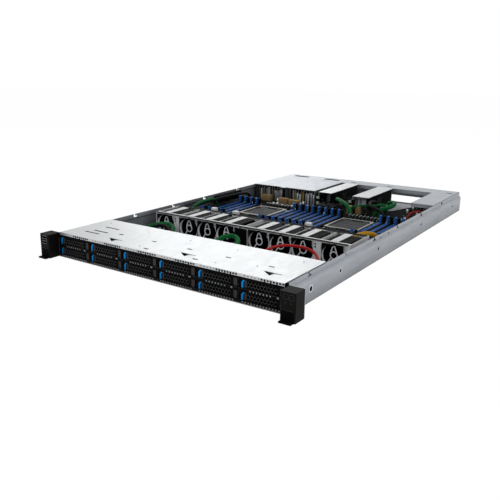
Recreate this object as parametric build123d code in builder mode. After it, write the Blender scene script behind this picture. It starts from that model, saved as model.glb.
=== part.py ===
from build123d import *
from math import cos, radians, sin, sqrt, tan
import os

# Rack server, one unit high, lid off: twelve drive bays, eight fans, two power supplies.
# Millimetres. +X is right seen from the front, +Y runs to the rear, +Z is up.
# The origin is on the underside, midway between the sides, in the plane where
# the two rack ears meet the rack.

# Chassis tray
chassis_width = 438.0
chassis_depth = 781.0
tray_overhang = 4.0
sheet = 0.8
wall_bend = 31.0
bend_rise = 3.0
wall_step = 3.6
wall_top = 41.5
cover_top = 43.0
fit_gap = 0.3
round_sides = 16
ring_sides = 10
small_sides = 6
flange_setback = 4.0

# Holes and lid slots in the side walls, by their distance behind the ears
rail_hole_places = (149.3, 507.8)
spare_hole_places = (56.5, 715.0)
rail_hole_height = 20.5
rail_hole_radius = 2.1
lid_slot_places = (57.0, 172.0, 282.0, 386.0, 513.0, 646.0)
lid_slot_width = 4.0
lid_slot_depth = 6.0
lid_slot_reach = 5.0
lid_slot_leg = 2.6

# Rack ears
ear_span = 482.6
ear_hole_span = 465.1
ear_hole_radius = 3.4
ear_hole_height = 21.5
ear_bottom = 0.6
ear_height = 40.0
ear_depth = 24.4
ear_plate = 1.2
ear_wall = 1.6
ear_front_wall = 4.8
ear_rounding = 1.2
lever_panel_height = 15.4
lever_panel_thickness = 3.0
lever_panel_margin = 2.2
lever_lip_reach = 7.2
lever_lip_thickness = 2.2
lever_pin_radius = 0.9
lever_bore_gap = 0.1
button_radius = 2.9
button_gap = 0.1
button_proud = 0.6
button_collar = 0.8
button_travel = 1.2
button_height = 33.9
button_places = (7.9, 16.0)
port_width = 13.1
port_height = 5.7
port_depth = 10.0
port_shell = 0.35
port_back = 1.0
port_tongue_width = 11.0
port_tongue_height = 1.8
port_tongue_rise = 0.9
port_tongue_length = 9.0
port_heights = (27.2, 35.6)

# Drive bays: two rows of six
bay_columns = 6
bay_pitch = 72.0
row_pitch = 17.4
bay_floor = 5.0
bay_front = 5.0
bay_depth = 110.0
drive_width = 69.85
drive_length = 100.2
drive_height = 9.5
drive_front = 4.0
rail_thickness = 0.4
rail_height = 6.0
bezel_height = 13.6
bezel_depth = 8.0
bezel_wall = 0.9
bezel_pocket = 4.6
bezel_window_height = 7.4
handle_thickness = 3.2
handle_gap = 0.35
handle_pin_radius = 0.8
handle_pin_gap = 0.05
handle_bar_width = 4.2
thumb_tab_width = 7.6
thumb_tab_slope = 3.4
grille_width = 40.0
grille_holes = 3
grille_hole_radius = 3.6
lip_height = 5.6
lip_hole = 2.5
lip_holes = 7
lip_pitch = 4.6
lip_start = 0.0

# Cut-outs of the bay cover, by their middles
louvre_places = ((-107.0, 13.0), (36.0, 18.0), (180.0, 17.0))
louvre_half = 15.0
louvre_back = 6.0
louvre_front = 7.0
louvre_tip = 2.0
louvre_tab_half = 9.0
louvre_tab_reach = 3.0
cover_slot_places = ((-162.0, 38.0), (-168.0, 24.5), (-163.0, 65.0))
cover_slot_length = 32.0
cover_slot_width = 4.0
hook_places = (
    (-121.0, 44.0), (-49.0, 44.0), (22.0, 44.0), (93.0, 44.0), (165.0, 44.0), (-32.0, 7.0), (60.0, 9.0),
)
hook_length = 9.0
hook_width = 3.5
cover_hole_places = (
    (-97.0, 83.0), (-50.0, 12.0), (-8.0, 83.0), (93.0, 13.0),
    (148.0, 35.0), (82.0, 83.0), (-192.0, 90.0), (190.0, 90.0),
)
cover_hole_radius = 1.5

# Drive backplane
backplane_y = 113.0
board_thickness = 1.6
backplane_top = 36.0
socket_width = 42.0
socket_height = 6.0
vent_width = 40.0
vent_height = 4.0

# Fans, by their distance to each side of the tray's middle
fan_middle = 4.8
fan_offsets = (34.3, 76.5, 118.7, 173.5)
fan_size = 40.0
fan_length = 56.0
fan_bore = 38.0
fan_tray_front = 211.0
fan_tray_rear = 286.0
fan_tray_half = 199.6
fan_tray_lip = 7.0
fan_mount_gap = 2.0
fan_height_gap = 0.3
guard_ring_radius = 7.0
guard_width = 1.7
guard_bars = (
    ((6.0, 18.6), (-3.0, 13.2)), ((-3.0, 13.2), (-6.2, 1.5)),
    ((0.5, 15.4), (5.2, 3.5)), ((-4.6, -4.6), (-12.0, -15.6)),
)
pillar_fin_x = -0.9
pillar_fin_reach = 6.0
pillar_hole_radius = 1.8
pillar_hole_rise = 8.6
pillar_hole_spread = 5.7
star_reach = 4.2
star_waist = 1.9
star_rise = 13.4
rotor_tip_gap = 0.6
rotor_hub_radius = 10.0
rotor_front_gap = 1.0
rotor_length = 20.0
rotor_blades = 5
rotor_blade_thickness = 1.1
rotor_blade_chord = 18.0
rotor_blade_pitch = 38.0
rotor_blade_root = 7.4
rotor_shaft_radius = 1.5
rotor_shaft_gap = 0.05
motor_seat_length = 8.0
strut_width = 2.2
strut_count = 3
clip_width = 13.0
clip_shift = -4.0
clip_front = 220.0
clip_rear = 275.0

# Main board
mainboard_top = 8.0
mainboard_front = 291.0
mainboard_half_width = 212.0
mainboard_left_end = 586.0
mainboard_middle_end = 643.0
mainboard_right_end = 765.0
mainboard_step_left = -49.0
mainboard_step_right = 133.0
mainboard_slant_left = 109.0
mainboard_slant_end = 713.0
standoff_radius = 3.0

# Memory sockets
memory_pitch = 7.5
memory_front = 348.0
memory_length = 142.0
memory_width = 6.2
memory_body_height = 10.0
memory_slot_width = 1.6
memory_slot_depth = 6.0
latch_width = 3.8
latch_depth = 5.0
latch_foot = 3.5
latch_hook = 1.2
latch_head = 5.0
latch_top = 32.0
memory_banks = ((-188.0, 8), (-48.5, 16), (146.0, 8))

# Processor sockets
cpu_places = (-92.0, 105.0)
cpu_centre_y = 432.0
cpu_frame_width = 74.0
cpu_frame_length = 112.0
cpu_window_width = 60.0
cpu_window_length = 78.0
cpu_frame_height = 5.0
cpu_cover_height = 3.4
cpu_lever_width = 2.0
cpu_lever_inset = 3.0
cpu_lever_margin = 6.0
cpu_cover_lap = 3.0
cpu_cover_corner = 4.0
cpu_cover_grip = 20.0
cpu_cover_grip_depth = 3.0
cpu_cover_grip_rise = 2.0

# Power supplies
psu_width = 73.5
psu_height = 39.5
psu_length = 185.0
psu_shell = 0.9
psu_side_gap = 0.5
psu_grille_bars = 9
psu_grille_bar = 1.2
psu_fan_radius = 16.0
psu_inlet_width = 27.0
psu_inlet_height = 20.0
psu_fan_hub_radius = 6.4
psu_fan_inset = 2.0
psu_fan_bar = 2.0
psu_fan_depth = 6.0
psu_solid_end = 40.0
psu_inlet_core_width = 19.0
psu_inlet_core_height = 10.0
psu_inlet_inset = 3.0
psu_inlet_rise = 4.0
psu_inlet_depth = 15.0
psu_handle_reach = 20.0
psu_handle_thickness = 3.0
psu_handle_width = 4.0
psu_handle_height = 28.0
psu_bay_right = -53.0
psu_bay_front = 590.0
psu_cover_top = 42.5
psu_window_width = 40.0
psu_window_length = 14.0
psu_window_setback = 24.0
psu_channel_lap = 6.0
psu_channel_width = 11.7

# Risers and rear cross bar
bar_front = 733.0
bar_top = 42.4
riser_front = 586.0
riser_boards = (-48.8, 29.0)
riser_board_front = 588.0
riser_board_length = 53.0
riser_board_top = 37.0
riser_strips = ((-41.0, -9.0), (41.0, 78.0))
riser_leg = 9.0
riser_leg_places = (600.0, 628.0)
corner_left = 168.0
corner_front = 592.0
bar_lip = 8.0
bar_slot_places = (-29.0, 63.0, 202.0)
bar_slot_setback = 16.0
bar_slot_length = 14.0
bar_slot_width = 7.0
riser_hole_radius = 2.2
riser_hole_inset = 12.0
riser_hole_setback = 8.0
riser_clamp_drop = 6.0

# Rear panel openings
window_left = 58.0
window_right = 130.0
window_bottom = 3.0
window_top = 19.0
rear_vents = 17
rear_vent_width = 5.5
rear_vent_pitch = 10.0
rear_vent_bottom = 25.0
rear_vent_top = 36.0
port_block_top = 23.0
rear_ports = ((141.0, 155.0), (159.0, 175.0), (179.0, 211.0))
rear_port_depth = 22.0

# Air baffle on the left wall
baffle_front = 424.0
baffle_rear = 517.0
baffle_bottom = 21.0
baffle_top = 37.0
baffle_thickness = 8.0

# Parts on the boards
choke_count = 6
choke_pitch = 12.0
choke_size = 9.0
choke_front = 330.0
choke_height = 7.0
capacitor_count = 5
capacitor_pitch = 13.0
capacitor_y = 346.0
capacitor_radius = 3.6
capacitor_height = 8.0
fin_thickness = 1.6
fin_base = 4.0
cpu_sink_half_width = 32.0
cpu_sink_front = 496.0
cpu_sink_rear = 510.0
cpu_sink_top = 21.0
cpu_sink_fins = 9
hub_sink_left = -30.0
hub_sink_right = 10.0
hub_sink_front = 556.0
hub_sink_rear = 596.0
hub_sink_top = 20.0
hub_sink_fins = 7

# Connectors on the main board
header_shift = 13.0
header_front = 305.0
header_width = 10.0
header_depth = 6.0
header_height = 9.0
supply_sockets = ((-172.0, 579.0), (-118.0, 565.0), (-88.0, 559.0))
supply_socket_width = 24.0
supply_socket_depth = 12.0
supply_socket_height = 14.0
plug_places = ((47.0, 561.0), (65.0, 567.0))
plug_size = 10.0
plug_height = 18.0
port_flange = 1.2

# Cables
cable_radius = 2.4
sleeve_radius = 3.2
loom_radius = 4.2

# Derived places
half_width = chassis_width / 2
wall_inside = half_width - sheet
flange_start = wall_bend + bend_rise
flange_outside = half_width - wall_step
flange_inside = flange_outside - sheet
ear_outside = ear_span / 2
carrier_width = drive_width + 2 * rail_thickness
bay_span = bay_columns * bay_pitch
cover_underside = cover_top - sheet
board_underside = mainboard_top - board_thickness
fan_tray_top = sheet + fan_height_gap + fan_size + fan_height_gap + sheet
fan_top = sheet + fan_height_gap + fan_size
fan_places = sorted(fan_middle + side * offset for side in (-1, 1) for offset in fan_offsets)
fan_centre_z = sheet + fan_height_gap + fan_size / 2
psu_cover_underside = psu_cover_top - sheet
psu_rights = (
    psu_bay_right - sheet - psu_side_gap - psu_width - psu_channel_width,
    psu_bay_right - sheet - psu_side_gap,
)
psu_bottom = sheet + fit_gap
psu_rear = chassis_depth
panel_top = bar_top - sheet


def facing_front(y):
    """Upright plane at distance y behind the ears: sketch x is +X, sketch y is +Z."""
    return Plane.XZ.offset(-y)


def facing_side(x):
    """Upright plane at x: sketch x is +Y, sketch y is +Z, extrusions go to +X."""
    return Plane.YZ.offset(x)


def level(z):
    """Horizontal plane at height z."""
    return Plane.XY.offset(z)


def block(low, high, mode=Mode.ADD):
    """A rectangular block between two opposite corners."""
    size = [b - a for a, b in zip(low, high)]
    middle = tuple((a + b) / 2 for a, b in zip(low, high))
    with Locations(middle):
        Box(*size, mode=mode)


def outline(points):
    """A filled sketch outline through the points."""
    Polygon(*points, align=None)


def keep(builder, name):
    """Labels a finished piece and writes its file."""
    builder.part.label = name
    export_step(builder.part, f"parts/{name}.step")


def bay_centre(column):
    """X of a drive bay column's middle, counted from the left."""
    return (column - (bay_columns - 1) / 2) * bay_pitch


def corner_radius(inscribed, sides):
    """Radius to the corners of a regular outline that clears a circle of the given radius."""
    return inscribed / cos(radians(180 / sides))


def band(start, end, width):
    """A straight strip in a sketch between two points."""
    along = Vector(*end) - Vector(*start)
    aside = along.rotate(Axis.Z, 90).normalized() * (width / 2)
    corners = (Vector(*start) + aside, Vector(*start) - aside, Vector(*end) - aside, Vector(*end) + aside)
    Polygon(*[(corner.X, corner.Y) for corner in corners], align=None)


def bay_bottom(row):
    """Height of a carrier's underside in the lower (0) or upper (1) row."""
    return bay_floor + fit_gap + row * row_pitch


os.makedirs("parts", exist_ok=True)

# Chassis tray: base, stepped side walls with lid slots, ear plates and standoffs
standoff_places = [
    (x, y)
    for x in (-mainboard_half_width + 10, -20, mainboard_half_width - 12)
    for y in (mainboard_front + 12, (mainboard_front + mainboard_left_end) / 2, mainboard_left_end - 12)
]
with BuildPart() as chassis_tray:
    with BuildSketch(facing_front(chassis_depth)):
        outline([
            (0, 0), (half_width, 0), (half_width, wall_bend), (flange_outside, flange_start),
            (flange_outside, wall_top), (flange_inside, wall_top), (flange_inside, flange_start),
            (wall_inside, wall_bend), (wall_inside, sheet), (0, sheet),
        ])
        mirror(about=Plane.YZ)
    extrude(amount=chassis_depth + tray_overhang)
    for side in (-1, 1):
        block(
            (min(side * wall_inside, side * ear_outside), -ear_plate, sheet),
            (max(side * wall_inside, side * ear_outside), 0, ear_bottom + ear_height),
        )
    block(
        (-flange_outside - sheet, -tray_overhang, wall_bend),
        (flange_outside + sheet, flange_setback, wall_top),
        mode=Mode.SUBTRACT,
    )
    for side in (-1, 1):
        block(
            (min(side * half_width, side * ear_outside), -ear_plate, sheet),
            (max(side * half_width, side * ear_outside), 0, ear_bottom + ear_height),
        )
    with BuildSketch(facing_side(-half_width)):
        with Locations(*[(place, wall_top - lid_slot_depth / 2) for place in lid_slot_places]):
            Rectangle(lid_slot_width, lid_slot_depth)
        leg_height = wall_top - lid_slot_depth + lid_slot_leg / 2
        with Locations(*[(place + lid_slot_reach / 2, leg_height) for place in lid_slot_places]):
            Rectangle(lid_slot_width + lid_slot_reach, lid_slot_leg)
    extrude(amount=chassis_width, mode=Mode.SUBTRACT)
    with BuildSketch(facing_side(-half_width)):
        with Locations(*[(place, rail_hole_height) for place in rail_hole_places]):
            Circle(rail_hole_radius)
        with Locations(*[(place, rail_hole_height) for place in spare_hole_places]):
            RegularPolygon(rail_hole_radius, small_sides)
    extrude(amount=chassis_width, mode=Mode.SUBTRACT)
    with BuildSketch(facing_front(0)):
        with Locations((-ear_hole_span / 2, ear_hole_height), (ear_hole_span / 2, ear_hole_height)):
            Circle(ear_hole_radius)
    extrude(amount=ear_plate, mode=Mode.SUBTRACT)
    with BuildSketch(level(sheet)):
        with Locations(*standoff_places):
            RegularPolygon(standoff_radius, 6)
    extrude(amount=board_underside - sheet)
keep(chassis_tray, "chassis_tray")

# Drive cage: floor and middle shelf with their front strips, and upright dividers between them
cage_rear = bay_depth - fit_gap
shelf_top = bay_bottom(1) - fit_gap
strip_bottom = bay_bottom(0) + bezel_height + fit_gap
wall_places = [(column - bay_columns / 2) * bay_pitch for column in range(bay_columns + 1)]
with BuildPart() as drive_cage:
    for plate_top, strip_low in ((bay_floor, sheet), (shelf_top, strip_bottom)):
        with BuildSketch(facing_side(-bay_span / 2)):
            outline([
                (-bay_front, strip_low), (-tray_overhang, strip_low), (-tray_overhang, plate_top - sheet),
                (cage_rear, plate_top - sheet), (cage_rear, plate_top), (-bay_front, plate_top),
            ])
        extrude(amount=bay_span)
    for place in wall_places:
        outer = place in (wall_places[0], wall_places[-1])
        upper_top = wall_bend - sheet if outer else cover_underside - fit_gap
        lower_top = shelf_top - sheet - fit_gap
        for wall_low, wall_high in ((bay_floor + fit_gap, lower_top), (shelf_top + fit_gap, upper_top)):
            block(
                (place - sheet / 2, fit_gap - tray_overhang, wall_low),
                (place + sheet / 2, cage_rear, wall_high),
            )
keep(drive_cage, "drive_cage")

# Drive bay cover: top plate, skirts and the punched lip over the drives
lip_bottom = bay_bottom(1) + bezel_height + fit_gap
cover_half = flange_inside - 2 * fit_gap
skirt_bottom = flange_start + sheet
with BuildPart() as drive_bay_cover:
    block((-cover_half, -bay_front, cover_underside), (cover_half, bay_depth, cover_top))
    block((-cover_half, -bay_front, lip_bottom), (cover_half, -bay_front + sheet, cover_underside))
    for side in (-1, 1):
        block(
            (min(side * cover_half, side * (cover_half - sheet)), flange_setback, skirt_bottom),
            (max(side * cover_half, side * (cover_half - sheet)), bay_depth, cover_underside),
        )
    lip_middle = (lip_bottom + cover_underside) / 2
    lip_places = [
        (
            bay_centre(column) + lip_start + number * lip_pitch,
            lip_middle + (0.5 - number % 2) * lip_pitch / 2,
        )
        for column in range(bay_columns)
        for number in range(lip_holes)
    ]
    with BuildSketch(facing_front(-bay_front + sheet)):
        with Locations(*lip_places):
            Rectangle(lip_hole, lip_hole)
    extrude(amount=sheet, mode=Mode.SUBTRACT)
    with BuildSketch(level(cover_underside)):
        for place in louvre_places:
            with Locations(place):
                outline([
                    (-louvre_half, louvre_back), (louvre_half, louvre_back), (louvre_tip, -louvre_front),
                ])
        for place in cover_slot_places:
            with Locations(place):
                Rectangle(cover_slot_length, cover_slot_width)
        for place in hook_places:
            with Locations(place):
                Rectangle(hook_length, hook_width)
        for place in cover_hole_places:
            with Locations(place):
                RegularPolygon(cover_hole_radius, 6)
    extrude(amount=sheet, mode=Mode.SUBTRACT)
    for x, y in louvre_places:
        with BuildSketch(facing_front(y + louvre_back + sheet)):
            outline([
                (x - louvre_tab_half, cover_underside), (x + louvre_tab_half, cover_underside),
                (x + louvre_tip, cover_underside - louvre_tab_reach),
            ])
        extrude(amount=sheet)
keep(drive_bay_cover, "drive_bay_cover")

# Drive carriers and their swinging handles
pocket_left = -carrier_width / 2 + bezel_wall
handle_left = pocket_left + handle_gap
handle_right = carrier_width / 2 - bezel_wall - handle_gap
handle_height = bezel_height - 2 * bezel_wall - 2 * handle_gap
pivot_x = handle_right - handle_thickness / 2
pivot_y = -bay_front + handle_thickness / 2
bezel_rear = -bay_front + bezel_depth
handle_bore = corner_radius(handle_pin_radius + handle_pin_gap, small_sides)
for row, row_name in enumerate(("lower", "upper")):
    bottom = bay_bottom(row)
    middle_z = bottom + bezel_height / 2
    for column in range(bay_columns):
        centre = bay_centre(column)
        left = centre - carrier_width / 2
        right = centre + carrier_width / 2
        with BuildPart() as drive_carrier:
            with BuildSketch(facing_front(bezel_rear)):
                with Locations((centre, middle_z)):
                    Rectangle(carrier_width, bezel_height)
            extrude(amount=bezel_depth)
            with BuildSketch(facing_front(-bay_front + bezel_pocket)):
                with Locations((centre, middle_z)):
                    Rectangle(carrier_width - 2 * bezel_wall, bezel_height - 2 * bezel_wall)
            extrude(amount=bezel_pocket, mode=Mode.SUBTRACT)
            with BuildSketch(facing_front(bezel_rear)):
                with Locations((centre, middle_z)):
                    Rectangle(grille_width, bezel_window_height)
            extrude(amount=bezel_depth - bezel_pocket, mode=Mode.SUBTRACT)
            for rail_left in (left, right - rail_thickness):
                block(
                    (rail_left, bezel_rear, bottom),
                    (rail_left + rail_thickness, drive_front + drive_length, bottom + rail_height),
                )
            with BuildSketch(level(bottom)):
                with Locations((centre + pivot_x, pivot_y)):
                    RegularPolygon(handle_pin_radius, small_sides)
            extrude(amount=bezel_height)
            drive_bottom = bottom + rail_thickness
            block(
                (centre - drive_width / 2, drive_front, drive_bottom),
                (centre + drive_width / 2, drive_front + drive_length, drive_bottom + drive_height),
            )
        keep(drive_carrier, f"drive_carrier_{row_name}_{column + 1}")

        handle_bottom = middle_z - handle_height / 2
        tab_right = centre + handle_left + thumb_tab_width
        with BuildPart() as handle:
            with BuildSketch(level(handle_bottom)) as plan:
                with Locations(((tab_right + centre + handle_right) / 2, pivot_y)):
                    Rectangle(centre + handle_right - tab_right, handle_thickness)
                knuckle = plan.vertices().sort_by(Axis.X)[-2:].sort_by(Axis.Y)[0]
                fillet(knuckle, handle_thickness / 2)
                with Locations((centre + pivot_x, pivot_y)):
                    RegularPolygon(handle_bore, small_sides, mode=Mode.SUBTRACT)
            extrude(amount=handle_height)
            grille_left = tab_right + handle_bar_width
            hole_pitch = grille_width / grille_holes
            with BuildSketch(facing_front(-bay_front + handle_thickness)):
                for number in range(grille_holes):
                    rise = (number % 2 - 0.5) * (handle_height - 2 * grille_hole_radius - 2 * sheet) / 2
                    with Locations((grille_left + (number + 0.5) * hole_pitch, middle_z + rise)):
                        RegularPolygon(grille_hole_radius, 6)
            extrude(amount=handle_thickness, mode=Mode.SUBTRACT)
            with BuildSketch(facing_side(centre + handle_left)):
                outline([
                    (-bay_front, handle_bottom), (-bay_front + handle_thickness, handle_bottom),
                    (-bay_front + handle_thickness, handle_bottom + handle_height),
                    (-bay_front + handle_thickness / 2, handle_bottom + handle_height),
                    (-bay_front, handle_bottom + handle_height - thumb_tab_slope),
                ])
            extrude(amount=thumb_tab_width)
        keep(handle, f"drive_handle_{row_name}_{column + 1}")

# Backplane behind the drives, with a socket for each drive and vents between
backplane_half = flange_inside - 2 * fit_gap
with BuildPart() as drive_backplane:
    block(
        (-backplane_half, backplane_y, sheet),
        (backplane_half, backplane_y + board_thickness, backplane_top),
    )
    with BuildSketch(facing_front(backplane_y + board_thickness)):
        for row in (0, 1):
            vent_z = bay_bottom(row) + drive_height + vent_height / 2 + rail_thickness
            with Locations(*[(bay_centre(column), vent_z) for column in range(bay_columns)]):
                Rectangle(vent_width, vent_height)
    extrude(amount=board_thickness, mode=Mode.SUBTRACT)
    for row in (0, 1):
        for column in range(bay_columns):
            middle = bay_centre(column)
            socket_bottom = bay_bottom(row) + rail_thickness + 1
            block(
                (middle - socket_width / 2, drive_front + drive_length + fit_gap, socket_bottom),
                (middle + socket_width / 2, backplane_y, socket_bottom + socket_height),
            )
keep(drive_backplane, "drive_backplane")

# Fan tray: front plate with guards in its openings, rear plate, cross walls and a folded top lip
front_plate_rear = fan_tray_front + sheet
fan_front = front_plate_rear + fan_mount_gap
fan_rear = fan_front + fan_length
pillars = [(a + b) / 2 for a, b in zip(fan_places, fan_places[1:])]
wide_pillars = (pillars[0], pillars[-1])
narrow_pillars = pillars[1:3] + pillars[4:6]
star = []
for point in range(5):
    for radius, turn in ((star_reach, 72 * point), (star_waist, 72 * point + 36)):
        star.append((radius * sin(radians(turn)), radius * cos(radians(turn))))
with BuildPart() as fan_tray:
    with BuildSketch(facing_front(front_plate_rear)):
        with Locations((fan_middle, (sheet + fan_tray_top) / 2)):
            Rectangle(2 * fan_tray_half, fan_tray_top - sheet)
        with Locations(*[(place, fan_centre_z) for place in fan_places]):
            RegularPolygon(fan_bore / 2, round_sides, mode=Mode.SUBTRACT)
            RegularPolygon(guard_ring_radius, ring_sides)
            RegularPolygon(guard_ring_radius - guard_width, ring_sides, mode=Mode.SUBTRACT)
        for start, end in guard_bars:
            with Locations(*[(place, fan_centre_z) for place in fan_places]):
                band(start, end, guard_width)
        for place in narrow_pillars:
            with Locations((place, fan_centre_z + star_rise)):
                Polygon(*star, align=None, mode=Mode.SUBTRACT)
            with Locations((place, fan_centre_z + pillar_hole_rise)):
                RegularPolygon(pillar_hole_radius, 6, mode=Mode.SUBTRACT)
        for place in wide_pillars:
            for side in (-1, 1):
                for rise in (pillar_hole_rise, star_rise):
                    with Locations((place + side * pillar_hole_spread, fan_centre_z + rise)):
                        RegularPolygon(pillar_hole_radius, 6, mode=Mode.SUBTRACT)
    extrude(amount=sheet)
    with BuildSketch(facing_front(fan_tray_rear)):
        with Locations((fan_middle, (sheet + fan_tray_top) / 2)):
            Rectangle(2 * fan_tray_half, fan_tray_top - sheet)
        with Locations(*[(place, fan_centre_z) for place in fan_places]):
            RegularPolygon(fan_bore / 2, ring_sides, mode=Mode.SUBTRACT)
    extrude(amount=sheet)
    tray_ends = [fan_middle + side * (fan_tray_half - sheet / 2) for side in (-1, 1)]
    for place in pillars + tray_ends:
        block(
            (place - sheet / 2, front_plate_rear, sheet),
            (place + sheet / 2, fan_tray_rear - sheet, fan_tray_top),
        )
    block(
        (fan_middle - fan_tray_half, fan_tray_front, fan_tray_top - sheet),
        (fan_middle + fan_tray_half, fan_tray_front + fan_tray_lip, fan_tray_top),
    )
    block(
        (pillar_fin_x, fan_tray_front - pillar_fin_reach, sheet),
        (pillar_fin_x + sheet, fan_tray_front, fan_tray_top),
    )
keep(fan_tray, "fan_tray")

# Fan clips: a pale strap on top of each fan
with BuildPart() as fan_clips:
    for place in fan_places:
        block(
            (place + clip_shift - clip_width / 2, clip_front, fan_top + fit_gap),
            (place + clip_shift + clip_width / 2, clip_rear, fan_top + fit_gap + sheet),
        )
keep(fan_clips, "fan_clips")

# Fan frames: square housings with a round duct and a motor seat held by struts
rotor_front = fan_front + rotor_front_gap
seat_rear = rotor_front + rotor_length + fit_gap + motor_seat_length
shaft_bore = corner_radius(rotor_shaft_radius + rotor_shaft_gap, ring_sides)
with BuildPart() as fan_frames:
    with BuildSketch(facing_front(fan_rear)):
        with Locations(*[(place, fan_centre_z) for place in fan_places]):
            Rectangle(fan_size, fan_size)
            RegularPolygon(fan_bore / 2, round_sides, mode=Mode.SUBTRACT)
    extrude(amount=fan_length)
    strut_reach = fan_bore / 2 + sheet
    with BuildSketch(facing_front(seat_rear)):
        with Locations(*[(place, fan_centre_z) for place in fan_places]):
            RegularPolygon(rotor_hub_radius, ring_sides)
        for number in range(strut_count):
            turn = radians(360 * number / strut_count + 90)
            with Locations(*[(place, fan_centre_z) for place in fan_places]):
                band((0, 0), (strut_reach * cos(turn), strut_reach * sin(turn)), strut_width)
        with Locations(*[(place, fan_centre_z) for place in fan_places]):
            RegularPolygon(shaft_bore, ring_sides, mode=Mode.SUBTRACT)
    extrude(amount=motor_seat_length)
keep(fan_frames, "fan_frames")

# Fan rotors: a hub with slanted blades on a shaft with two flats
blade_slope = radians(rotor_blade_pitch)
blade_half_width = (rotor_blade_chord * sin(blade_slope) + rotor_blade_thickness * cos(blade_slope)) / 2
duct_clear = fan_bore / 2 * cos(radians(180 / round_sides)) - rotor_tip_gap
blade_tip = sqrt(duct_clear ** 2 - blade_half_width ** 2)
for number, place in enumerate(fan_places):
    with BuildPart() as fan_rotor:
        with BuildSketch(facing_front(rotor_front + rotor_length)):
            with Locations((place, fan_centre_z)):
                RegularPolygon(rotor_hub_radius, ring_sides)
        extrude(amount=rotor_length)
        with BuildSketch(facing_front(seat_rear - fit_gap)):
            with Locations((place, fan_centre_z)):
                Circle(rotor_shaft_radius)
                Rectangle(2 * rotor_shaft_radius, rotor_shaft_radius, mode=Mode.INTERSECT)
        extrude(amount=motor_seat_length)
        for blade in range(rotor_blades):
            turn = radians(360 * blade / rotor_blades)
            outward = Vector(cos(turn), 0, sin(turn))
            start = Vector(place, rotor_front + rotor_length / 2, fan_centre_z) + outward * rotor_blade_root
            with BuildSketch(Plane(origin=start, x_dir=(0, 1, 0), z_dir=outward)):
                Rectangle(rotor_blade_chord, rotor_blade_thickness, rotation=rotor_blade_pitch)
            extrude(amount=blade_tip - rotor_blade_root)
    keep(fan_rotor, f"fan_rotor_{number + 1}")

# Main board with its stepped rear edge, and the two riser boards that stand over it
with BuildPart() as mainboard:
    with BuildSketch(level(board_underside)):
        outline([
            (-mainboard_half_width, mainboard_front), (mainboard_half_width, mainboard_front),
            (mainboard_half_width, mainboard_right_end), (mainboard_step_right, mainboard_right_end),
            (mainboard_step_right, mainboard_slant_end), (mainboard_slant_left, mainboard_middle_end),
            (mainboard_step_left, mainboard_middle_end), (mainboard_step_left, mainboard_left_end),
            (-mainboard_half_width, mainboard_left_end),
        ])
    extrude(amount=board_thickness)
    for board_x in riser_boards:
        block(
            (board_x, riser_board_front, mainboard_top + fit_gap),
            (board_x + board_thickness, riser_board_front + riser_board_length, riser_board_top),
        )
keep(mainboard, "mainboard")

# Memory sockets: a slotted body between two upright latches, blue and black in turn
memory_rear = memory_front + memory_length
body_top = mainboard_top + memory_body_height
slot_length = memory_length - 4 * latch_depth
for colour, start in (("blue", 0), ("black", 1)):
    socket_places = [
        bank_left + memory_pitch * number
        for bank_left, bank_size in memory_banks
        for number in range(start, bank_size, 2)
    ]
    with BuildPart() as memory_sockets:
        with BuildSketch(level(mainboard_top)):
            with Locations(*[(place, (memory_front + memory_rear) / 2) for place in socket_places]):
                Rectangle(memory_width, memory_length - 2 * latch_depth)
        extrude(amount=memory_body_height)
        with BuildSketch(level(body_top - memory_slot_depth)):
            with Locations(*[(place, (memory_front + memory_rear) / 2) for place in socket_places]):
                Rectangle(memory_slot_width, slot_length)
        extrude(amount=memory_slot_depth, mode=Mode.SUBTRACT)
        for foot, way in ((memory_front + latch_depth, -1), (memory_rear - latch_depth, 1)):
            with BuildSketch(*[facing_side(place - latch_width / 2) for place in socket_places]):
                outline([
                    (foot, mainboard_top), (foot + way * latch_foot, mainboard_top),
                    (foot + way * latch_depth, latch_top),
                    (foot - way * latch_hook, latch_top - latch_hook),
                    (foot, latch_top - latch_head),
                ])
            extrude(amount=latch_width)
    keep(memory_sockets, f"memory_sockets_{colour}")

# Processor sockets: a frame with a load lever at each side, and its dust cover
frame_top = mainboard_top + cpu_frame_height
with BuildPart() as cpu_sockets:
    for centre in cpu_places:
        with BuildSketch(level(mainboard_top)):
            with Locations((centre, cpu_centre_y)):
                Rectangle(cpu_frame_width, cpu_frame_length)
                Rectangle(cpu_window_width, cpu_window_length, mode=Mode.SUBTRACT)
        extrude(amount=cpu_frame_height)
        lever_end = cpu_frame_length / 2 - cpu_lever_margin
        for side in (-1, 1):
            lever_x = centre + side * (cpu_frame_width / 2 - cpu_lever_inset)
            block(
                (lever_x - cpu_lever_width / 2, cpu_centre_y - lever_end, frame_top),
                (lever_x + cpu_lever_width / 2, cpu_centre_y + lever_end, frame_top + cpu_lever_width),
            )
keep(cpu_sockets, "cpu_sockets")

with BuildPart() as cpu_covers:
    for centre in cpu_places:
        with BuildSketch(level(frame_top)) as plan:
            with Locations((centre, cpu_centre_y)):
                Rectangle(cpu_window_width + 2 * cpu_cover_lap, cpu_window_length + 2 * cpu_cover_lap)
            chamfer(plan.vertices(), cpu_cover_corner)
        extrude(amount=cpu_cover_height)
        with BuildSketch(level(frame_top + cpu_cover_height)):
            with Locations(*[(centre, cpu_centre_y + side * cpu_window_length / 2) for side in (-1, 1)]):
                Rectangle(cpu_cover_grip, cpu_cover_grip_depth)
        extrude(amount=cpu_cover_grip_rise)
keep(cpu_covers, "cpu_covers")

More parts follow.
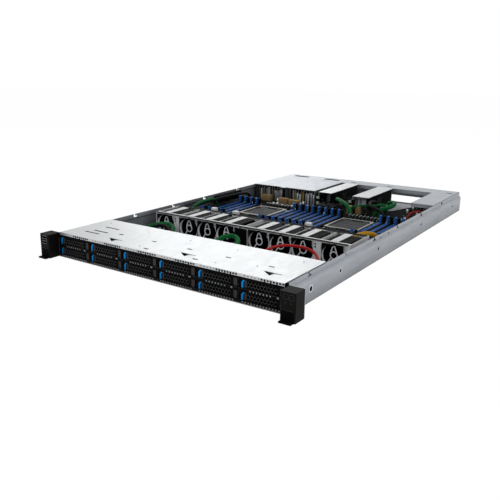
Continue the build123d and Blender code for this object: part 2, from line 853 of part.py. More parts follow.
# Power supplies: a steel shell open in front, with a fan grille, an inlet and a flat bail handle
psu_front = psu_rear - psu_length
for number, right in enumerate(psu_rights):
    left = right - psu_width
    centre = (left + right) / 2
    middle_z = psu_bottom + psu_height / 2
    with BuildPart() as power_supply:
        with BuildSketch(facing_front(psu_rear)):
            with Locations((centre, middle_z)):
                Rectangle(psu_width, psu_height)
        extrude(amount=psu_length)
        block(
            (left + psu_shell, psu_front, psu_bottom + psu_shell),
            (right - psu_shell, psu_rear - psu_solid_end, psu_bottom + psu_height - psu_shell),
            mode=Mode.SUBTRACT,
        )
        bar_pitch = (psu_width - 2 * psu_shell) / (psu_grille_bars + 1)
        for bar in range(psu_grille_bars):
            bar_x = left + psu_shell + (bar + 1) * bar_pitch
            block(
                (bar_x - psu_grille_bar / 2, psu_front, psu_bottom + psu_shell),
                (bar_x + psu_grille_bar / 2, psu_front + psu_shell, psu_bottom + psu_height - psu_shell),
            )
        fan_x = left + psu_shell + psu_fan_radius + psu_fan_inset
        with BuildSketch(facing_front(psu_rear)):
            with Locations((fan_x, middle_z)):
                RegularPolygon(psu_fan_radius, ring_sides)
                RegularPolygon(psu_fan_hub_radius, ring_sides, mode=Mode.SUBTRACT)
                Rectangle(psu_fan_bar, 2 * psu_fan_radius, mode=Mode.SUBTRACT)
                Rectangle(2 * psu_fan_radius, psu_fan_bar, mode=Mode.SUBTRACT)
        extrude(amount=psu_fan_depth, mode=Mode.SUBTRACT)
        inlet_x = right - psu_shell - psu_inlet_width / 2 - psu_inlet_inset
        inlet_z = psu_bottom + psu_inlet_height / 2 + psu_inlet_rise
        with BuildSketch(facing_front(psu_rear)):
            with Locations((inlet_x, inlet_z)):
                Rectangle(psu_inlet_width, psu_inlet_height)
                Rectangle(psu_inlet_core_width, psu_inlet_core_height, mode=Mode.SUBTRACT)
        extrude(amount=psu_inlet_depth, mode=Mode.SUBTRACT)
        grip_length = psu_handle_reach - psu_handle_thickness
        with BuildSketch(facing_side(fan_x - psu_handle_width / 2)):
            with Locations((psu_rear + psu_handle_reach / 2, middle_z)):
                Rectangle(psu_handle_reach, psu_handle_height)
            with Locations((psu_rear + grip_length / 2, middle_z)):
                Rectangle(grip_length, psu_handle_height - 2 * psu_handle_thickness, mode=Mode.SUBTRACT)
        extrude(amount=psu_handle_width)
    keep(power_supply, f"power_supply_{number + 1}")

# Cover over the power supplies, with the channel that parts them and a wall at the right
channel_left = psu_rights[0] + psu_side_gap
channel_right = psu_rights[1] - psu_width - psu_side_gap
psu_cover_left = -flange_inside + fit_gap
with BuildPart() as psu_bay_cover:
    block(
        (psu_cover_left, psu_bay_front, psu_cover_underside),
        (psu_bay_right, psu_rear - sheet - fit_gap, psu_cover_top),
    )
    for wall_left in (channel_left, channel_right - sheet, psu_bay_right - sheet):
        block(
            (wall_left, psu_bay_front, sheet),
            (wall_left + sheet, psu_rear - sheet - fit_gap, psu_cover_underside),
        )
    block(
        (channel_left, psu_bay_front - psu_channel_lap, psu_cover_underside),
        (channel_right, psu_bay_front, psu_cover_top),
    )
    with BuildSketch(level(psu_cover_underside)):
        window_y = psu_rear - psu_window_setback
        with Locations(*[(right - psu_width / 2, window_y) for right in psu_rights]):
            Rectangle(psu_window_width, psu_window_length)
    extrude(amount=sheet, mode=Mode.SUBTRACT)
keep(psu_bay_cover, "psu_bay_cover")

# Rear panel: openings for the supplies, a card window, vents and the board's ports
with BuildPart() as rear_panel:
    with BuildSketch(facing_front(chassis_depth)):
        outline([
            (0, sheet), (wall_inside - fit_gap, sheet), (wall_inside - fit_gap, wall_bend),
            (flange_inside - fit_gap, flange_start), (flange_inside - fit_gap, panel_top), (0, panel_top),
        ])
        mirror(about=Plane.YZ)
        for right in psu_rights:
            with Locations((right - psu_width / 2, psu_bottom + psu_height / 2)):
                Rectangle(psu_width + 2 * psu_side_gap, psu_height + fit_gap, mode=Mode.SUBTRACT)
        window_middle = ((window_left + window_right) / 2, (window_bottom + window_top) / 2)
        with Locations(window_middle):
            Rectangle(window_right - window_left, window_top - window_bottom, mode=Mode.SUBTRACT)
        vent_left = riser_strips[0][0] + rear_vent_width
        with Locations(*[
            (vent_left + number * rear_vent_pitch, (rear_vent_bottom + rear_vent_top) / 2)
            for number in range(rear_vents)
        ]):
            Rectangle(rear_vent_width, rear_vent_top - rear_vent_bottom, mode=Mode.SUBTRACT)
        for port_left, port_right in rear_ports:
            with Locations(((port_left + port_right) / 2, (mainboard_top + port_block_top) / 2)):
                Rectangle(
                    port_right - port_left + 2 * fit_gap,
                    port_block_top - mainboard_top + 2 * fit_gap,
                    mode=Mode.SUBTRACT,
                )
    extrude(amount=sheet)
keep(rear_panel, "rear_panel")

# Rear cross bar with the corner cover over the ports
bar_left = psu_bay_right + 2 * fit_gap
with BuildPart() as rear_crossbar:
    with BuildSketch(level(panel_top)):
        outline([
            (bar_left, bar_front), (corner_left, bar_front), (corner_left, corner_front),
            (flange_inside - fit_gap, corner_front), (flange_inside - fit_gap, chassis_depth),
            (bar_left, chassis_depth),
        ])
        with Locations(*[(place, bar_front + bar_slot_setback) for place in bar_slot_places]):
            Rectangle(bar_slot_length, bar_slot_width, mode=Mode.SUBTRACT)
    extrude(amount=sheet)
    with BuildSketch(level(flange_start + sheet)):
        with Locations(((corner_left + flange_inside - fit_gap) / 2, corner_front + sheet / 2)):
            Rectangle(flange_inside - fit_gap - corner_left, sheet)
    extrude(amount=panel_top - flange_start - sheet)
    block((bar_left, bar_front, panel_top - bar_lip), (corner_left, bar_front + sheet, panel_top))
keep(rear_crossbar, "rear_crossbar")

# Riser brackets: a top strip on two legs, joined to the cross bar
with BuildPart() as riser_brackets:
    for (strip_left, strip_right), board_x in zip(riser_strips, riser_boards):
        with BuildSketch(level(panel_top)):
            with Locations(((strip_left + strip_right) / 2, (riser_front + bar_front) / 2)):
                Rectangle(strip_right - strip_left, bar_front - riser_front)
            with Locations((strip_left + riser_hole_inset, riser_front + riser_hole_setback)):
                RegularPolygon(riser_hole_radius, small_sides, mode=Mode.SUBTRACT)
        extrude(amount=sheet)
        block(
            (strip_left, riser_front, panel_top - bar_lip),
            (strip_left + sheet, bar_front - fit_gap, panel_top),
        )
        for leg_y in riser_leg_places:
            block((strip_left, leg_y, mainboard_top), (strip_left + sheet, leg_y + riser_leg, panel_top))
        clamp_z = riser_board_top - riser_clamp_drop
        block(
            (board_x + board_thickness, riser_leg_places[0], clamp_z),
            (strip_left, riser_leg_places[0] + riser_leg, clamp_z + sheet),
        )
keep(riser_brackets, "riser_brackets")

# Air baffle: a black block on the left wall beside the memory
baffle_left = -flange_inside + fit_gap
with BuildPart() as air_baffle:
    block(
        (baffle_left, baffle_front, baffle_bottom),
        (baffle_left + baffle_thickness, baffle_rear, baffle_top),
    )
keep(air_baffle, "air_baffle")

# Parts on the boards: chokes and capacitors in front of the processors, finned heatsinks behind
sinks = [(hub_sink_left, hub_sink_right, hub_sink_front, hub_sink_rear, hub_sink_top, hub_sink_fins)]
for centre in cpu_places:
    sink_left = centre - cpu_sink_half_width
    sink_right = centre + cpu_sink_half_width
    sinks.append((sink_left, sink_right, cpu_sink_front, cpu_sink_rear, cpu_sink_top, cpu_sink_fins))
with BuildPart() as board_parts:
    for centre in cpu_places:
        for number in range(choke_count):
            choke_x = centre + (number - (choke_count - 1) / 2) * choke_pitch
            block(
                (choke_x - choke_size / 2, choke_front, mainboard_top),
                (choke_x + choke_size / 2, choke_front + choke_size, mainboard_top + choke_height),
            )
        with BuildSketch(level(mainboard_top)):
            for number in range(capacitor_count):
                capacitor_x = centre + (number - (capacitor_count - 1) / 2) * capacitor_pitch
                with Locations((capacitor_x, capacitor_y)):
                    RegularPolygon(capacitor_radius, small_sides)
        extrude(amount=capacitor_height)
    for left, right, front, rear, top, fins in sinks:
        block((left, front, mainboard_top), (right, rear, mainboard_top + fin_base))
        fin_pitch = (right - left - fin_thickness) / (fins - 1)
        for fin in range(fins):
            fin_x = left + fin * fin_pitch
            block((fin_x, front, mainboard_top + fin_base), (fin_x + fin_thickness, rear, top))
keep(board_parts, "board_parts")

# Connectors: fan headers, sockets in front of the power supplies, white plugs, rear ports
with BuildPart() as board_connectors:
    for place in fan_places[:-1]:
        header_left = place + header_shift
        block(
            (header_left, header_front, mainboard_top),
            (header_left + header_width, header_front + header_depth, mainboard_top + header_height),
        )
    for x, y in supply_sockets:
        block(
            (x - supply_socket_width / 2, y - supply_socket_depth / 2, mainboard_top),
            (x + supply_socket_width / 2, y + supply_socket_depth / 2, mainboard_top + supply_socket_height),
        )
    for x, y in plug_places:
        block(
            (x - plug_size / 2, y - plug_size / 2, mainboard_top),
            (x + plug_size / 2, y + plug_size / 2, mainboard_top + plug_height),
        )
    for port_left, port_right in rear_ports:
        block(
            (port_left, chassis_depth - rear_port_depth, mainboard_top),
            (port_right, chassis_depth, port_block_top),
        )
        block(
            (port_left + port_flange, chassis_depth - rear_port_depth / 2, mainboard_top + port_flange),
            (port_right - port_flange, chassis_depth, port_block_top - port_flange),
            mode=Mode.SUBTRACT,
        )
keep(board_connectors, "board_connectors")

# Rack ears: hollow housings against the ear plates, each with a release lever below
ear_front = -ear_depth
ear_back = -ear_plate
ear_top = ear_bottom + ear_height
lever_top = ear_bottom + lever_panel_height
ear_inner = half_width + fit_gap
lever_in = ear_inner + lever_panel_margin
lever_out = ear_outside - lever_panel_margin
lever_pivot_y = ear_front + lever_panel_thickness / 2
lever_pivot_z = lever_top - lever_panel_thickness / 2
lever_bore = corner_radius(lever_pin_radius + lever_bore_gap, small_sides)
for side, side_name in ((-1, "left"), (1, "right")):
    def across(a, b):
        """The two X values on this side, lowest first."""
        return min(side * a, side * b), max(side * a, side * b)

    low_x, high_x = across(ear_inner, ear_outside)
    lever_low, lever_high = across(lever_in, lever_out)
    with BuildPart() as ear:
        with BuildSketch(level(ear_bottom)):
            with Locations(((low_x + high_x) / 2, (ear_front + ear_back) / 2)):
                Rectangle(high_x - low_x, ear_back - ear_front)
        extrude(amount=ear_height)
        chamfer(ear.edges().filter_by(Axis.Z).sort_by(Axis.Y)[:2], ear_rounding)
        block(
            (low_x + ear_wall, ear_front + ear_front_wall, ear_bottom + ear_wall),
            (high_x - ear_wall, ear_back, ear_top - ear_wall),
            mode=Mode.SUBTRACT,
        )
        block(
            (lever_low - fit_gap, ear_front, ear_bottom),
            (lever_high + fit_gap, ear_front + lever_panel_thickness + fit_gap, lever_top + fit_gap),
            mode=Mode.SUBTRACT,
        )
        with BuildSketch(facing_side(lever_low - fit_gap)):
            with Locations((lever_pivot_y, lever_pivot_z)):
                RegularPolygon(lever_pin_radius, small_sides)
        extrude(amount=lever_high - lever_low + 2 * fit_gap)
        if side_name == "right":
            with BuildSketch(facing_front(ear_front + ear_front_wall)):
                with Locations(*[(ear_inner + place, button_height) for place in button_places]):
                    RegularPolygon(button_radius + button_gap, ring_sides)
            extrude(amount=ear_front_wall, mode=Mode.SUBTRACT)
        else:
            port_x = (low_x + high_x) / 2
            with BuildSketch(facing_front(ear_front + ear_front_wall)):
                with Locations(*[(port_x, height) for height in port_heights]):
                    Rectangle(port_width, port_height)
            extrude(amount=ear_front_wall, mode=Mode.SUBTRACT)
            for height in port_heights:
                with BuildSketch(facing_front(ear_front + port_depth)):
                    with Locations((port_x, height)):
                        Rectangle(port_width, port_height)
                        offset(amount=-port_shell, mode=Mode.SUBTRACT)
                extrude(amount=port_depth)
                with BuildSketch(facing_front(ear_front + port_depth)):
                    with Locations((port_x, height)):
                        Rectangle(port_width, port_height)
                extrude(amount=port_back)
                with BuildSketch(facing_front(ear_front + port_depth)):
                    with Locations((port_x, height + port_tongue_rise)):
                        Rectangle(port_tongue_width, port_tongue_height)
                extrude(amount=port_tongue_length)
    keep(ear, f"ear_{side_name}")

    with BuildPart() as ear_lever:
        with BuildSketch(facing_side(lever_low)):
            with Locations((lever_pivot_y, (ear_bottom + lever_pivot_z) / 2)):
                Rectangle(lever_panel_thickness, lever_pivot_z - ear_bottom)
            with Locations((lever_pivot_y, lever_pivot_z)):
                Circle(lever_panel_thickness / 2)
            with Locations((
                (ear_front - lever_lip_reach + lever_pivot_y) / 2,
                ear_bottom + lever_lip_thickness / 2,
            )):
                Rectangle(lever_pivot_y - ear_front + lever_lip_reach, lever_lip_thickness)
            with Locations((lever_pivot_y, lever_pivot_z)):
                RegularPolygon(lever_bore, small_sides, mode=Mode.SUBTRACT)
        extrude(amount=lever_high - lever_low)
    keep(ear_lever, f"ear_lever_{side_name}")

# Buttons of the right ear, held by a collar behind the front wall
button_rear = ear_front + ear_front_wall + button_gap
for place, name in zip(button_places, ("power_button", "locate_button")):
    with BuildPart() as button:
        with BuildSketch(facing_front(button_rear)):
            with Locations((ear_inner + place, button_height)):
                RegularPolygon(button_radius, ring_sides)
        extrude(amount=ear_front_wall + button_gap + button_proud)
        with BuildSketch(facing_front(button_rear + button_collar)):
            with Locations((ear_inner + place, button_height)):
                RegularPolygon(button_radius + button_collar, ring_sides)
        extrude(amount=button_collar)
    keep(button, name)


def cable(points, radius):
    """A round cable along straight runs joined by arcs as large as the runs allow."""
    corners = []
    for before, corner, after in zip(points, points[1:], points[2:]):
        first = Vector(*corner) - Vector(*before)
        second = Vector(*after) - Vector(*corner)
        turn = first.get_angle(second)
        corners.append(0.45 * min(first.length, second.length) / tan(radians(turn / 2)))
    print("cable arcs", [round(value, 1) for value in corners])
    with BuildLine():
        path = FilletPolyline(*points, radius=corners)
    with BuildSketch(Plane(origin=path @ 0, z_dir=path % 0)) as section:
        RegularPolygon(radius, 5)
    sweep(section.sketch, path=path)


# Cables held inside: behind the drives, along the left wall and by the riser boards
loom_start = backplane_y + board_thickness
cable_routes = (
    (loom_radius, [
        (-190, loom_start, 14), (-190, 132, 14), (-166, 182, 29), (-124, 186, 31), (-100, 132, 12),
        (-100, loom_start, 12),
    ]),
    (sleeve_radius, [
        (-150, loom_start, 25), (-150, 130, 25), (-136, 150, 37), (-112, 151, 36), (-91, 130, 24),
        (-91, loom_start, 24),
    ]),
    (loom_radius, [
        (-22, loom_start, 12), (-22, 134, 12), (-10, 180, 32), (22, 180, 32), (38, 132, 14),
        (38, loom_start, 14),
    ]),
    (cable_radius, [
        (80, loom_start, 22), (80, 134, 22), (100, 180, 35), (166, 180, 35), (188, 134, 18),
        (188, loom_start, 18),
    ]),
    (loom_radius, [
        (158, loom_start, 10), (158, 134, 10), (176, 184, 14), (196, 184, 12), (203, 134, 10),
        (203, loom_start, 10),
    ]),
    (sleeve_radius, [
        (-205, 306, mainboard_top), (-205, 306, 22), (-203, 344, 33), (-198, 520, 34),
        (-194, 540, 24), (-194, 540, mainboard_top),
    ]),
    (loom_radius, [
        (-4, 614, mainboard_top), (-4, 614, 24), (6, 580, 34), (64, 528, 32),
        (64, 528, mainboard_top),
    ]),
    (sleeve_radius, [
        (90, 622, mainboard_top), (90, 622, 26), (82, 590, 36), (96, 546, 34), (132, 540, 26),
        (132, 540, mainboard_top),
    ]),
    (loom_radius, [
        (104, 624, mainboard_top), (104, 624, 28), (128, 612, 36), (140, 576, 34), (104, 556, 22),
        (104, 556, mainboard_top),
    ]),
)
with BuildPart() as cable_looms:
    for radius, points in cable_routes:
        cable(points, radius)
keep(cable_looms, "cable_looms")
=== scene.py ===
"""Looks of a one-unit rack server with its lid off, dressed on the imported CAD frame."""

import logging
import math
import random
from dataclasses import dataclass
from enum import Enum
from typing import Sequence

import bmesh
import bpy
from mathutils import Matrix, Vector


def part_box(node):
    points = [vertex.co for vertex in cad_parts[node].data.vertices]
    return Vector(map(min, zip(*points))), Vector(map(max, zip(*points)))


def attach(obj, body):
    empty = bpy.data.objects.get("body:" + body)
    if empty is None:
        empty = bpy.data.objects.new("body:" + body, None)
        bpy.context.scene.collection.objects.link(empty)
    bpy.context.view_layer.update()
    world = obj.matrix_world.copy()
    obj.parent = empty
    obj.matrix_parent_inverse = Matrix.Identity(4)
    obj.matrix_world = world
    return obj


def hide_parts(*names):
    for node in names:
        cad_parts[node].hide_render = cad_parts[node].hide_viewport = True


log = logging.getLogger("rack_server")

Point = Sequence[float]
Pair = tuple[float, float]
Rectangle = tuple[float, float, float, float]
Tree = bpy.types.NodeTree
Socket = bpy.types.NodeSocket

MM = 0.001
CHASSIS = "chassis"
UP = Vector((0, 0, 1))
SIDES = (-1, 1)
# How deep a small part is sunk into the face that it stands on
SUNK = 0.1 * MM
BAYS = 6
BAY_PITCH = 72 * MM
FANS = 8
BOARD_TOP = 8 * MM
# Rolled sheet has its grain drawn out along the depth, the way it was rolled
ROLLED_STRETCH = (1.0, 0.12, 1.0)
PLAIN_STRETCH = (1.0, 1.0, 1.0)
GRAIN_RANGE = (0.12, 0.42)
TRACE_RANGE = (0.3, 0.6)
BLOTCH = 40 * MM
TRACE_WIDTH = 0.35 * MM
TRACE_LENGTH = 23 * MM
TRACE_PITCH = 2.6 * MM
TRACE_UNDER = 0.2
RELIEF = 0.35
# How the grain moves the roughness: its own middle range, then the spread below and above the mean
GRAIN_MIDDLE = (0.3, 0.7)
ROUGHNESS_SPREAD = (0.06, 0.08)
ROUGHNESS_FLOOR = 0.05
# Samples of the painted shade that darkens colours in corners
PAINTED_SHADE_SAMPLES = 6
# A way that no loom starts along, from which the first wire's side is worked out
SLANT = Vector((0.3, 0.2, 1))


def linear(colour: str) -> tuple[float, float, float, float]:
    """Turns an sRGB hex colour to linear light.

    Args:
        colour: Six hex digits after a hash, such as "#8a8f96".

    Returns:
        Red, green, blue and an alpha of one.
    """
    parts = [int(colour[i:i + 2], 16) / 255 for i in (1, 3, 5)]
    red, green, blue = [c / 12.92 if c <= 0.04045 else ((c + 0.055) / 1.055) ** 2.4 for c in parts]
    return red, green, blue, 1.0


def add_node(tree: Tree, kind: str, inputs: dict | None = None, **settings: object) -> bpy.types.Node:
    """Adds one shader node with its settings, values and links.

    Args:
        tree: The node tree that takes it.
        kind: Blender's name of the node type.
        inputs: Input name or number to a value, or to the output socket that feeds it.
        **settings: Attributes of the node, such as operation="ADD".

    Returns:
        The new node.
    """
    made = tree.nodes.new(kind)
    for name, value in settings.items():
        setattr(made, name, value)
    for name, value in (inputs or {}).items():
        if isinstance(value, Socket):
            tree.links.new(value, made.inputs[name])
        else:
            made.inputs[name].default_value = value
    return made


class Surface(Enum):
    """How a finish's surface was made."""

    ROLLED = "rolled sheet"
    MOULDED = "moulded plastic"
    LAMINATE = "printed circuit board"
    CAST = "plain smooth body"


@dataclass(frozen=True)
class Finish:
    """One real material as a procedural shader.

    Attributes:
        name: The material's common name and making.
        surface: How the surface was made.
        base: Its main colour.
        shade: The second colour of its grain.
        roughness: Mean roughness.
        metallic: One for metal, zero otherwise.
        grain_mm: Size of the grain in millimetres.
        relief_mm: Height of the grain.
        gloss: Strength of the mirror reflection, 0.5 for most plastics.
        painted_shade_mm: How far the painted shade in its corners and between parts reaches; zero leaves it
            out.
    """

    name: str
    surface: Surface
    base: str
    shade: str
    roughness: float
    metallic: float = 0.0
    grain_mm: float = 1.0
    relief_mm: float = 0.05
    gloss: float = 0.5
    painted_shade_mm: float = 30.0

    def material(self) -> bpy.types.Material:
        """The Blender material, made on first use."""
        known = bpy.data.materials.get(self.name)
        return known if known else self.make()

    def make(self) -> bpy.types.Material:
        """Builds the shader from the surface's grain.

        Returns:
            The new material.
        """
        made = bpy.data.materials.new(self.name)
        made.use_nodes = True
        made.diffuse_color = linear(self.base)
        tree = made.node_tree
        shader = tree.nodes["Principled BSDF"]
        shader.inputs["Metallic"].default_value = self.metallic
        shader.inputs["Specular IOR Level"].default_value = self.gloss
        place = add_node(tree, "ShaderNodeTexCoord").outputs["Object"]
        stretch = ROLLED_STRETCH if self.surface is Surface.ROLLED else PLAIN_STRETCH
        mapped = add_node(tree, "ShaderNodeMapping", {"Vector": place, "Scale": stretch}).outputs["Vector"]
        grain = add_node(tree, "ShaderNodeTexNoise", {
            "Vector": mapped, "Scale": 1 / (self.grain_mm * MM), "Detail": 4.0, "Roughness": 0.6,
        }).outputs["Fac"]
        blotch = add_node(tree, "ShaderNodeTexNoise", {"Vector": place, "Scale": 1 / BLOTCH, "Detail": 2.0})
        amount = add_node(tree, "ShaderNodeMath", {0: grain, 1: blotch.outputs["Fac"]}, operation="MULTIPLY")
        pattern, (low, high) = amount.outputs[0], GRAIN_RANGE
        if self.surface is Surface.LAMINATE:
            pattern, (low, high) = self.traces(tree, place, pattern), TRACE_RANGE
        share = add_node(tree, "ShaderNodeMapRange", {"Value": pattern, "From Min": low, "From Max": high})
        colour = add_node(tree, "ShaderNodeMix", {
            "Factor": share.outputs["Result"], 6: linear(self.base), 7: linear(self.shade),
        }, data_type="RGBA")
        tint = colour.outputs[2]
        # Painted shade: the base colour is darkened where other faces are near, in corners, creases and
        # between parts
        if self.painted_shade_mm:
            tint = add_node(tree, "ShaderNodeAmbientOcclusion", {
                "Color": tint, "Distance": self.painted_shade_mm * MM,
            }, samples=PAINTED_SHADE_SAMPLES).outputs["Color"]
        tree.links.new(tint, shader.inputs["Base Color"])
        (middle_low, middle_high), (below, above) = GRAIN_MIDDLE, ROUGHNESS_SPREAD
        dull = add_node(tree, "ShaderNodeMapRange", {
            "Value": grain, "From Min": middle_low, "From Max": middle_high,
            "To Min": max(self.roughness - below, ROUGHNESS_FLOOR), "To Max": min(self.roughness + above, 1.0),
        })
        tree.links.new(dull.outputs["Result"], shader.inputs["Roughness"])
        relief = add_node(tree, "ShaderNodeBump", {
            "Height": grain, "Strength": RELIEF, "Distance": self.relief_mm * MM,
        })
        tree.links.new(relief.outputs["Normal"], shader.inputs["Normal"])
        return made

    @staticmethod
    def traces(tree: Tree, place: Socket, under: Socket) -> Socket:
        """Copper runs under the lacquer, as narrow bricks, drawn coarser than real ones so that they show.

        Args:
            tree: The material's node tree.
            place: The point's place on the object.
            under: The pattern that shows between the runs.

        Returns:
            The pattern with the runs in it.
        """
        runs = add_node(tree, "ShaderNodeTexBrick", {
            "Vector": place, "Scale": 1.0, "Mortar Size": TRACE_WIDTH, "Brick Width": TRACE_LENGTH,
            "Row Height": TRACE_PITCH,
        })
        return add_node(tree, "ShaderNodeMath", {
            0: runs.outputs["Fac"], 1: under, 2: TRACE_UNDER,
        }, operation="MULTIPLY_ADD").outputs[0]


ROLLED, MOULDED, LAMINATE, CAST = Surface
# Zinc on rolled steel sheet: a bright satin metal with faint streaks along the rolling
ZINC_COVER = Finish("zinc_plated_cover_sheet", ROLLED, "#c6c8c9", "#c0c3c5", 0.42, 0.8, 2.2, 0.008)
ZINC_REAR = Finish("zinc_plated_rear_sheet", ROLLED, "#acb0b5", "#a2a6ac", 0.44, 0.8, 2.2, 0.008)
ZINC_TRAY = Finish("zinc_plated_tray_sheet", ROLLED, "#a9adb3", "#a1a6ac", 0.46, 0.8, 6.0, 0.006)
ZINC_INNER = Finish("zinc_plated_inner_sheet", ROLLED, "#b4b9be", "#a0a6ac", 0.42, 0.85, 2.0, 0.01)
# Thin guards that catch the light from all sides, with that light painted into an almost white colour
ZINC_GUARD_PAINTED_LIGHT = Finish("zinc_guard_sheet_painted_light", ROLLED, "#f4f5f6", "#e6e9eb", 0.55, 0.2, 2.0, 0.01, 0.5, 4.0)
# Nickel on a stamped frame: smoother and a little warmer than the sheet
NICKEL = Finish("nickel_plated_stamping", ROLLED, "#aeaca7", "#8a8885", 0.36, 1.0, 1.2, 0.01)
# Bare metals: drawn-out aluminium is grey and streaked, turned steel bright, a drawn can pale and soft
ALUMINIUM = Finish("extruded_aluminium", ROLLED, "#8f9296", "#6f7377", 0.4, 1.0, 0.8, 0.01)
SCREW_STEEL = Finish("turned_screw_steel", CAST, "#c8cacd", "#9da0a4", 0.3, 1.0, 0.5, 0.01)
CAN = Finish("drawn_aluminium_can", CAST, "#e4e6e8", "#cdd0d3", 0.4, 0.5, 0.6, 0.01, 0.5, 0.0)
# Black glass-filled plastic: fine spark-eroded grain that takes nearly all shine away
BLACK_PLASTIC = Finish("black_glass_filled_nylon", MOULDED, "#08080a", "#0f0f11", 0.62, 0.0, 0.5, 0.02, 0.02)
CARRIER_BLACK = Finish("black_carrier_moulding", MOULDED, "#070708", "#0d0d0e", 0.55, 0.0, 0.4, 0.02, 0.04)
CHIP = Finish("moulded_chip_epoxy", MOULDED, "#0f1012", "#18191b", 0.5, 0.0, 0.4, 0.01, 0.05)
# The ears' brownish black, with raised lines drawn in a lighter grey
EAR_PLASTIC = Finish("dark_ear_moulding", MOULDED, "#080706", "#0d0b0a", 0.6, 0.0, 0.5, 0.02, 0.08)
LINE_PLASTIC = Finish("light_grey_line_moulding", MOULDED, "#4a4745", "#54514e", 0.4, 0.0, 0.5, 0.01, 0.1)
GREY_BUTTON = Finish("dark_button_moulding", MOULDED, "#0d0c0c", "#151413", 0.5, 0.0, 0.5, 0.01, 0.08)
# Grey-brown bars and a lighter black mesh, so that the handles stand off the dark bays
BAR_PLASTIC = Finish("grey_brown_moulding", MOULDED, "#3f3a39", "#494342", 0.5, 0.0, 0.5, 0.02, 0.1)
MESH_BLACK = Finish("black_mesh_moulding", MOULDED, "#323234", "#3e3e40", 0.45, 0.0, 0.4, 0.01, 0.15)
# Blues: the catches bright, their recessed pockets the same blue painted nearly black as shade, the sockets
# lie between
BLUE_BRIGHT = Finish("bright_blue_catch", MOULDED, "#12a4ff", "#0f92f0", 0.42, 0.0, 0.6, 0.02, 0.1)
BLUE_POCKET_PAINTED_SHADE = Finish("catch_pocket_painted_shade", MOULDED, "#0b1f3c", "#081830", 0.42, 0.0, 0.6, 0.02, 0.3)
BLUE_SOCKET = Finish("blue_socket_moulding", MOULDED, "#2f74cc", "#2662b2", 0.5, 0.0, 0.7, 0.02, 0.1, 12.0)
# Undyed and lightly dyed nylons: soft, slightly milky, without sharp highlights
PALE_PLASTIC = Finish("pale_grey_moulding", MOULDED, "#f2f3f4", "#e2e4e6", 0.45, 0.0, 0.8, 0.02, 0.5, 4.0)
COVER_GREY = Finish("grey_dust_cover", MOULDED, "#4a4c4f", "#3d3f42", 0.55, 0.0, 0.8, 0.02, 0.08)
IVORY = Finish("ivory_connector_nylon", MOULDED, "#b89a6c", "#a3875a", 0.5, 0.0, 0.7, 0.02, 0.2)
WHITE_NYLON = Finish("white_connector_nylon", MOULDED, "#dcdcd6", "#c8c8c2", 0.5, 0.0, 0.7, 0.02)
# Glass-fibre laminate with solder lacquer: almost black or green, with runs that show through
BOARD = Finish("lacquered_laminate", LAMINATE, "#0b0e0d", "#26302b", 0.7, 0.0, 1.5, 0.02, 0.02)
RISER_BOARD = Finish("green_lacquered_laminate", LAMINATE, "#0f4a2a", "#1a6238", 0.6, 0.0, 1.5, 0.02, 0.1)
# Wire insulation and tape: strong colours with a low waxy sheen, the woven sleeve duller and rougher
YELLOW_TAPE = Finish("yellow_winding_tape", CAST, "#cdb03c", "#b0902c", 0.5, 0.0, 0.8, 0.01)
YELLOW_WIRE = Finish("yellow_wire_insulation", MOULDED, "#e0a81c", "#c08c12", 0.45, 0.0, 0.9, 0.01, 0.2)
RED_SLEEVE = Finish("red_wire_insulation", MOULDED, "#c01512", "#9c0e0c", 0.45, 0.0, 0.9, 0.01, 0.2)
GREEN_WIRE = Finish("green_wire_insulation", MOULDED, "#0a7a3c", "#064f27", 0.5, 0.0, 0.9, 0.01, 0.12)
DARK_WIRE = Finish("black_wire_insulation", MOULDED, "#0a0a0b", "#141416", 0.55, 0.0, 0.9, 0.01, 0.1)
BLACK_SLEEVE = Finish("black_braided_sleeve", MOULDED, "#0a0a0b", "#161618", 0.65, 0.0, 0.7, 0.06, 0.08)

NODE_FINISHES: dict[str, Finish] = {
    "chassis_tray": ZINC_TRAY, "drive_cage": ZINC_INNER, "drive_bay_cover": ZINC_COVER,
    "drive_backplane": BOARD, "fan_tray": ZINC_GUARD_PAINTED_LIGHT, "fan_clips": PALE_PLASTIC, "fan_frames": BLACK_PLASTIC,
    "fan_rotor": BLACK_PLASTIC, "mainboard": BOARD, "memory_sockets_blue": BLUE_SOCKET,
    "memory_sockets_black": BLACK_PLASTIC, "cpu_sockets": NICKEL, "cpu_covers": COVER_GREY,
    "psu_bay_cover": ZINC_REAR, "rear_panel": ZINC_INNER, "rear_crossbar": ZINC_REAR,
    "riser_brackets": ZINC_COVER, "air_baffle": BLACK_PLASTIC, "board_parts": ALUMINIUM,
    "board_connectors": IVORY, "ear_left": EAR_PLASTIC, "ear_right": EAR_PLASTIC, "ear_lever": BLACK_PLASTIC,
    "power_button": GREY_BUTTON, "locate_button": GREY_BUTTON, "power_supply": ZINC_INNER,
    "drive_carrier": CARRIER_BLACK,
}


